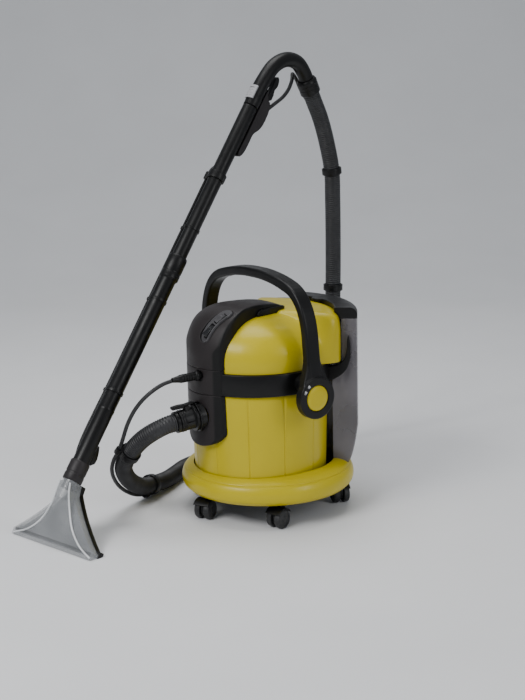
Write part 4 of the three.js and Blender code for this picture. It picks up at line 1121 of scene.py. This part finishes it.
def make_handle():
    outer, inner = handle_outline(0), handle_outline(HANDLE_THICK + 1.5)
    half, corner = HANDLE_WIDTH / 2, 4.2
    verts, faces = [], []
    section = []
    for sy, so, start in ((1, 1, 0), (-1, 1, 90), (-1, -1, 180), (1, -1, 270)):
        for k in range(6):
            turn = rad(start + 18 * k)
            section.append((sy, so, math.cos(turn), math.sin(turn)))
    for (ox, oz), (ix, iz) in zip(outer, inner):
        across = Vector((ox - ix, 0, oz - iz))
        thick = across.length
        across.normalize()
        middle = Vector(((ox + ix) / 2, 0, (oz + iz) / 2))
        for sy, so, c, s in section:
            y = sy * (half - corner) + corner * c
            out = so * (thick / 2 - corner) + corner * s
            verts.append(middle + across * out + Vector((0, y, 0)))
    n = len(section)
    for i in range(len(outer) - 1):
        a, b = i * n, (i + 1) * n
        faces += [[a + k, a + (k + 1) % n, b + (k + 1) % n, b + k] for k in range(n)]
    faces += [list(range(n))[::-1], list(range((len(outer) - 1) * n, len(outer) * n))]
    arch = solid(verts, faces)
    for side in (1, -1):
        x0, x1 = side * (FACE_X - HANDLE_THICK), side * FACE_X
        rows = ((12, 37.5, 0.6), (24, 33, 2), (38, 26.5, 4.3), (52, 20.5, 6.6), (68, 16, 9),
                (88, 12.5, 12.2))
        verts = []
        for up, wide, lean in rows:
            for depth, width in ((0.8, wide), (0.8, -wide), (HANDLE_THICK, -wide),
                                 (HANDLE_THICK, wide)):
                verts.append((side * (FACE_X - lean - depth), width, PIVOT_Z + up))
        faces = [[0, 1, 2, 3], [20, 21, 22, 23]]
        for row in range(5):
            faces += [[4 * row + k, 4 * row + (k + 1) % 4, 4 * row + 4 + (k + 1) % 4,
                       4 * row + 4 + k] for k in range(4)]
        flare = solid(verts, faces)
        join(arch, bar((x0, 0, PIVOT_Z), (x1, 0, PIVOT_Z), HUB_R, 96), flare)
    for side in (1, -1):
        x0, x1 = side * (FACE_X - HANDLE_THICK), side * FACE_X
        cut(arch, bar((x1 - side * 5.5, 0, PIVOT_Z), (x1 + side * 9, 0, PIVOT_Z), CAP_POCKET_R, 72),
            bar((x0 - 4 * side, 0, PIVOT_Z), (x1, 0, PIVOT_Z), PIN_HOLE_R, 48))
    soften(arch, 1.15, 3)
    piece(arch, "handle_arch", stands_for=("carry_handle",), angle=60)
    for side, node in ((1, "handle_cap_right"), (-1, "handle_cap_left")):
        turn = Matrix.Translation((side * (FACE_X - 5.4), 0, PIVOT_Z)) @ Matrix.Rotation(
            rad(90 * side), 4, "Y")
        cap = revolve([(0, 0), (25, 0), (25, 3.6), (24.2, 4.6), (22.6, 5), (21.6, 5.1),
                       (20.4, 5.8), (14, 6.2), (6, 6.4), (0, 6.4)], 96, turn)
        piece(cap, "fine_" + node, node, stands_for=(node,), angle=40)


def make_marks():
    """Small printed open and closed lock signs round the right hub."""
    face = FACE_X + 0.15
    for k, turn in enumerate((128, 150)):
        at = Matrix.Translation((face, 0, PIVOT_Z)) @ Matrix.Rotation(rad(turn), 4, "X")
        body = block(0.5, 5.4, 3.6, 0, 33.2, 0, at)
        bow = cut(across_x(circle(1.9, 33.2, 2.2 + 0.9 * k, 20), -0.25, 0.25, at),
                  across_x(circle(1.1, 33.2, 2.2 + 0.9 * k, 20), -0.6, 0.6, at))
        join(body, bow)
        o = piece(body, f"hub_mark_{k + 1}", "carry_handle", look=MARK_PAINT)
        del o["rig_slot"]
        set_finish(o, "pale_grey")


make_handle()
make_marks()


# ---------- tank ----------
def make_tank():
    wall, top, bottom = 2.5, TANK["top"], TANK["bottom"]
    outside = tank_solid(0, top)
    cut(outside, cut(disc(TANK["upper"], 301, 500, 128), disc(20, 290, 510)))
    inner = smooth_profile([(149, bottom + wall), (157.6, bottom + wall + 0.8),
                            (165.6, bottom + 14), (174.5, bottom + 41),
                            (TANK["r"] - wall, bottom + 86)], 5)
    hollow = revolve([(0, bottom + wall)] + inner + [(TANK["r"] - wall, top + 20), (0, top + 20)],
                     128, Matrix.Translation((0, TANK["y"], 0)))
    keep(hollow, wedge(bottom, top + 30, -3.2))
    cut(hollow, disc(TANK["inner"] + wall, 60, 303, 128),
        disc(TANK["upper"] + wall, 297.5, 520, 128))
    cut(outside, hollow)
    bevel(outside, 1.0, 2, 40)
    piece(outside, "smoky_tank", stands_for=("water_tank",), angle=30)


def lid_plan():
    half, front, reach = TANK["half"], 154, 240
    sx, sy = math.sin(rad(half)), math.cos(rad(half))
    points = [(reach * sx, reach * sy), (0, reach * 1.4), (-reach * sx, reach * sy)]
    return points + circle(front, 0, 0, 40, 90 + half, 90 + half + 0.001)[:1] + [
        (front * math.cos(rad(90 + half - 2 * half * i / 40)),
         front * math.sin(rad(90 + half - 2 * half * i / 40))) for i in range(1, 41)]


def make_lid():
    r, top = TANK["r"], TANK["top"]
    lid = revolve([(0, top + 0.5), (r, top + 0.5), (r, top + 11), (r - 1.6, top + 15.5),
                   (r - 5, top + 19), (r - 9.5, top + 21.6), (r - 15, top + 23), (0, top + 23)],
                  144, Matrix.Translation((0, TANK["y"], 0)))
    keep(lid, prism(lid_plan(), 380, 430))
    join(lid, prism(circle(17, 0, 160, 48), top + 16, top + 23))
    low = [(-320 * math.sin(rad(a)), 320 * math.cos(rad(a))) for a in (21, 65)]
    cut(lid, dome_solid(-0.6, 300), prism([(0, 0)] + low, top + 5.5, top + 40))
    soften(lid, 1.1, 3)
    piece(lid, "fill_lid", stands_for=("tank_lid",), angle=60)


make_tank()
make_lid()
recast("tank_valve", 0.0004)

# ---------- inner works ----------
for inner_node in ("fan_rotor", "fan_housing", "motor", "water_pump", "float_cage",
                   "float_ball"):
    recast(inner_node, 0.0004)


def make_gland():
    turn = rad(35)
    out = Vector((-math.cos(turn), math.sin(turn), 0))
    matrix, _ = between(out * 144 + Vector((0, 0, 285)), out * 166 + Vector((0, 0, 285)))
    profile = [(4, 0.6), (11, 0.6), (11, 6.5), (10, 7.6), (7.4, 8)]
    for k in range(4):
        z = 9.5 + 3 * k
        profile += [(7.2 - 0.3 * k, z), (6.2 - 0.3 * k, z + 0.6), (6.2 - 0.3 * k, z + 1.6),
                    (7.0 - 0.3 * k, z + 2.2)]
    profile += [(6, 21.8), (4, 21.8)]
    piece(revolve(profile, 48, matrix, loop=True), "cord_inlet", stands_for=("cord_gland",))


make_gland()


# ---------- wand ----------
ELBOW = [(580, 797), (601, 824), (626, 852), (657, 878), (695, 889), (729, 881), (750, 859),
         (764, 831)]


def make_tubes():
    lower = revolve([(17, 6), (17, 150), (17.5, 151), (17.5, 156), (17, 157), (17, 444),
                     (18.6, 447), (20, 449), (20, 460), (19.4, 461), (19.4, 464), (20, 465),
                     (20, 492), (19.6, 495), (18.6, 498), (15.9, 498), (15.9, 470),
                     (14.7, 469), (14.7, 6)], 64, SHAFT, loop=True)
    piece(lower, "lower_tube", stands_for=("wand_lower_tube",))
    upper = ring(13, 15.4, 472, 857.5, 64, SHAFT, 0.8)
    piece(upper, "upper_tube", stands_for=("wand_upper_tube",))
    line = walk(catmull([(0, s, z) for s, z in ELBOW], 12), 3)
    bend = tube(line, lambda i: 16 + (0.5 if 3 < i < 8 else 0), 48, WAND)
    piece(bend, "elbow", stands_for=("wand_elbow",), angle=50)
    s, z = ELBOW[-1]
    matrix = WAND @ Matrix.Translation((0, s, z)) @ Matrix.Rotation(rad(26.6), 4, "X")
    cuff = revolve([(22, -16), (21.2, -17), (19.2, -17), (19.2, 0), (17.3, 1), (17.3, 16),
                    (19.2, 16), (19.8, 15.4), (21.4, 12.4), (22, 11), (22, 6), (21.3, 5.4),
                    (21.3, 3.6), (22, 3), (22, -2), (21.3, -2.6), (21.3, -4.4), (22, -5)], 64,
                   matrix, loop=True)
    piece(cuff, "turning_cuff", stands_for=("hose_cuff",))


def make_valve():
    face = smooth_outline([(16.4, 756), (22, 752), (29, 764), (31, 790), (31.5, 812), (42, 832),
                           (46, 856), (43, 880), (37, 893), (28, 897), (22, 905), (18, 915),
                           (16.4, 900), (16.4, 840), (16.4, 790)], 5)
    housing = across_x(face, -11, 11, SHAFT)
    line = walk(catmull([(0, s, z) for s, z in ELBOW], 12), 6)
    cut(housing, block(13, 40, 60, 0, 46, 922, SHAFT), disc(16.2, 700, 858.4, 64, SHAFT),
        bar((0, 36, 864), (0, 62, 920), 5.2, 32, SHAFT), tube(line, lambda i: 16.3, 48, WAND))
    for k in range(5):
        cut(housing, block(30, 1.4, 30, 0, 47.2 - 0.7 * abs(k - 2), 838 + 9 * k, SHAFT))
    soften(housing, 0.6, 3)
    piece(housing, "valve_body", stands_for=("trigger_housing",), angle=60)
    outline = smooth_outline([(30, 902), (34, 899), (40, 902), (41, 915), (38, 926), (41, 938),
                              (37, 951), (31, 955), (28, 948), (29, 925)], 5)
    trigger = across_x(outline, -6, 6, SHAFT)
    for k in range(4):
        cut(trigger, bar((-9, 42.2 - (1.6 if k in (1, 2) else 0), 911 + 8 * k),
                         (9, 42.2 - (1.6 if k in (1, 2) else 0), 911 + 8 * k), 1.6, 16, SHAFT))
    soften(trigger, 0.5, 2)
    piece(trigger, "ridged_trigger", stands_for=("spray_trigger",), angle=60)
    band = keep(ring(16.9, 18.9, 872, 902, 96, SHAFT), block(22, 30, 60, 0, -22, 880, SHAFT))
    for k in range(4):
        join(band, keep(ring(17.9, 19.3, 877 + 6 * k, 879 + 6 * k, 96, SHAFT),
                        block(14, 30, 60, 0, -22, 880, SHAFT)))
    bevel(band, 0.35, 2, 40)
    piece(band, "air_slider", stands_for=("air_slide",), angle=35)


def make_spray_line():
    points = [(-6, 23, 748.5), (-14, 18, 738), (-22, 9, 722), (-25.5, 1, 704), (-25.5, 0, 690),
              (-25.5, 0, 560), (-25.5, 0, 440), (-25.5, 0, 320), (-25.5, 0, 200),
              (-25.5, 0, 80), (-27, 8, 48), (-23, 20, 20), (-14, 31, -3), (-4, 37.5, -15)]
    line = walk(catmull(points, 14), 5)
    piece(tube(line, lambda i: 3.4, 20, SHAFT), "pressure_line", stands_for=("spray_line",),
          angle=60)
    clip = join(ring(16.0, 18.8, 680, 696, 64, SHAFT, 0.8),
                ring(4.2, 7.2, 680, 696, 32, SHAFT @ Matrix.Translation((-25.5, 0, 0)), 0.8))
    piece(clip, "tube_clip", stands_for=("wand_clip",))
    for k, z in enumerate((190, 395, 560)):
        tie = join(ring(17.1 if z < 444 else 15.5, 18.6 if z < 444 else 17, z, z + 6, 64, SHAFT,
                        0.5),
                   ring(3.5, 5.2, z, z + 6, 32, SHAFT @ Matrix.Translation((-25.5, 0, 0)), 0.5),
                   block(6, 3, 5, -20, 0, z + 3, SHAFT))
        piece(tie, f"line_tie_{k + 1}", "wand_clip")


make_tubes()
recast("wand_latch", 0.0009, 25)
make_valve()
make_spray_line()


# ---------- floor nozzle ----------
MOUTH = 236


def hood_front(inset):
    half = MOUTH / 2 - inset
    right = [(half, -14), (half, 6)]
    right += quadratic((half, 6), (56 - inset, 50), (14 - inset, 104), 20)
    right.append((14 - inset, 140))
    return [(-half, -14)] + right + [(-x, z) for x, z in right[:0:-1]]


def hood_side(inset):
    front = smooth_profile([(15.6, 4), (16, 20), (21, 64), (28, 92), (31, 112), (33, 142)], 6)
    points = [(inset, -20), (15 - inset, -20)] + [(y - inset, z) for y, z in front]
    return [(-y, z) for y, z in points + [(inset, 142)]]


def wing_side(inset):
    """Side view of the thin wings beside the funnel."""
    points = [(inset, -20), (15 - inset, -20), (14.6 - inset, 20), (13 - inset, 70),
              (15 - inset, 142), (inset, 142)]
    return [(-y, z) for y, z in points]


FUNNEL_EDGE = [(115, -3), (78, 12), (48, 37), (29, 70), (19, 102), (16, 120)]


def funnel_front(inset):
    """Front view of the raised funnel, wide at the mouth and curving in to the neck."""
    right = [(x - inset, z) for x, z in smooth_profile(FUNNEL_EDGE, 5)]
    low = -13.4 - inset
    return [(inset - 115, low)] + [(-x, z) for x, z in right] + right[::-1] + [(115 - inset, low)]


def depth_at(z):
    """How far the funnel stands out from the back plate at a height."""
    rows = [(4, 15.6), (20, 16), (64, 21), (92, 28), (112, 31), (142, 33)]
    z = max(4, z)
    (z0, y0), (z1, y1) = next((a, b) for a, b in zip(rows, rows[1:]) if z <= b[0])
    return y0 + (y1 - y0) * (z - z0) / (z1 - z0)


def above_floor(o, clearance):
    matrix = HOOD @ Matrix.Rotation(rad(28.3), 4, "X")
    return cut(o, block(400, 200, 100, 0, 0, clearance - 50, matrix))


def above_neck():
    return block(200, 200, 90, 0, 0, 43.6, SHAFT)


def make_nozzle():
    hood = keep(along_y(hood_front(0), -60, 0, HOOD), across_x(wing_side(0), -200, 200, HOOD))
    funnel = keep(along_y(funnel_front(0), -60, -0.7, HOOD),
                  across_x(hood_side(0), -200, 200, HOOD))
    collar = keep(disc(17.8, -40, 10, 64, SHAFT), block(60, 60, 90, 0, -30, 125, HOOD))
    join(hood, funnel, collar)
    for side in (1, -1):
        edge = [(side * (x - 1.2), -depth_at(z) + 0.4, z) for x, z in FUNNEL_EDGE]
        # Raised ridge along each funnel edge, in the pale material that paints the highlight there.
        ridge = tube(catmull(edge, 4), lambda i: 1.7, 12, HOOD)
        name = f"hood_ridge_{'right' if side > 0 else 'left'}"
        piece(ridge, name, "nozzle_hood", RIDGE_HIGHLIGHT_LOOK, angle=60)
    inside = keep(along_y(hood_front(2.3), -60, 0, HOOD),
                  across_x(wing_side(2.3), -200, 200, HOOD))
    hollow = keep(along_y(funnel_front(2.6), -60, -2.7, HOOD),
                  across_x(hood_side(2.5), -200, 200, HOOD))
    cut(hood, hollow)
    cut(hood, inside, block(MOUTH - 8, 9, 40, 0, -7.6, -12, HOOD),
        disc(15, -26, 20, 48, SHAFT), above_neck())
    above_floor(hood, 1.2)
    bevel(hood, 0.5, 2, 35)
    piece(hood, "clear_hood_shell", "nozzle_hood", stands_for=("nozzle_hood",), angle=35)
    back = along_y(hood_front(-1.5), 0.35, 11.5, HOOD)
    join(back, block(26, 9, 100, 0, 8.1, 62, HOOD), block(MOUTH + 2, 11, 16, 0, 6.5, 5, HOOD))
    cut(back, above_neck())
    above_floor(back, 0.3)
    bevel(back, 0.6, 2, 35)
    piece(back, "hood_back", stands_for=("nozzle_back",), angle=35)
    lip = above_floor(along_y(round_rect(MOUTH - 12, 5, 1.8, 0, 5.4), -14.4, -12.6, HOOD), 1.2)
    piece(lip, "mouth_lip", "nozzle_back", angle=40)
    neck = revolve([(12, -18), (14.4, -18), (14.4, -1), (19, -1), (19.8, 0.4), (19.8, 12),
                    (19.1, 13), (19.1, 16), (19.8, 17), (19.8, 36), (19.4, 39), (18.6, 40),
                    (17.5, 40), (17.5, 2.5), (12, 2.5)], 64, SHAFT, loop=True)
    piece(neck, "swivel_neck", stands_for=("nozzle_neck",))
    jet = join(bar((0, 19.4, 96), (0, 19.4, 80), 6, 40, HOOD),
               bar((0, 19.4, 82), (0, 26, 66), 3.4, 32, HOOD))
    soften(jet, 0.5, 2)
    piece(jet, "jet", stands_for=("spray_jet",), angle=60)


make_nozzle()


# ---------- stage and light ----------
def make_stage():
    g = Graph("stage_paper")
    g.set(Base_Color=g.mix(g.span(g.noise(3, 3), 0.3, 0.7, 0, 1), (0.76, 0.76, 0.765),
                           (0.79, 0.79, 0.795)),
          Roughness=0.85)
    g.bump(g.noise(700, 2), 0.00005)
    verts, faces = [], []
    back = Vector((-0.809, 0.588, 0))
    side = Vector((0.588, 0.809, 0))
    sweep = [(-6.0, 0.0), (-2.0, 0.0), (2.2, 0.0)]
    sweep += [(2.2 + 2.4 * math.sin(rad(a)), 2.4 - 2.4 * math.cos(rad(a)))
              for a in range(6, 91, 6)]
    sweep.append((4.6, 9.0))
    for reach, height in sweep:
        for across in (-9, 9):
            verts.append(back * reach + side * across + Vector((0, 0, height)))
    faces = [[2 * i, 2 * i + 1, 2 * i + 3, 2 * i + 2] for i in range(len(sweep) - 1)]
    mesh = bpy.data.meshes.new("floor")
    mesh.from_pydata(verts, [], faces)
    for face in mesh.polygons:
        face.use_smooth = True
    mesh.materials.append(g.material)
    floor = bpy.data.objects.new("floor", mesh)
    bpy.context.scene.collection.objects.link(floor)


def area_light(name, at, target, size, power, colour=(1, 1, 1)):
    data = bpy.data.lights.new(name, "AREA")
    data.shape = "RECTANGLE"
    data.size, data.size_y = size
    data.energy = power
    data.color = colour
    lamp = bpy.data.objects.new(name, data)
    bpy.context.scene.collection.objects.link(lamp)
    lamp.location = at
    lamp.rotation_mode = "QUATERNION"
    lamp.rotation_quaternion = (Vector(target) - Vector(at)).to_track_quat("-Z", "Y")


def make_light():
    world = bpy.data.worlds.new("world")
    bpy.context.scene.world = world
    world.use_nodes = True
    sky = world.node_tree.nodes["Background"]
    sky.inputs["Color"].default_value = (0.86, 0.92, 1.0, 1)
    sky.inputs["Strength"].default_value = 0.34
    area_light("key", (0.4, -2.6, 2.4), (0, 0, 0.25), (1.6, 1.2), 70)
    area_light("side", (3.0, 0.9, 1.6), (0, 0, 0.3), (0.7, 1.6), 22)
    area_light("top", (-0.4, 0.3, 3.0), (0, 0, 0.2), (1.8, 1.8), 44)


make_stage()
make_light()
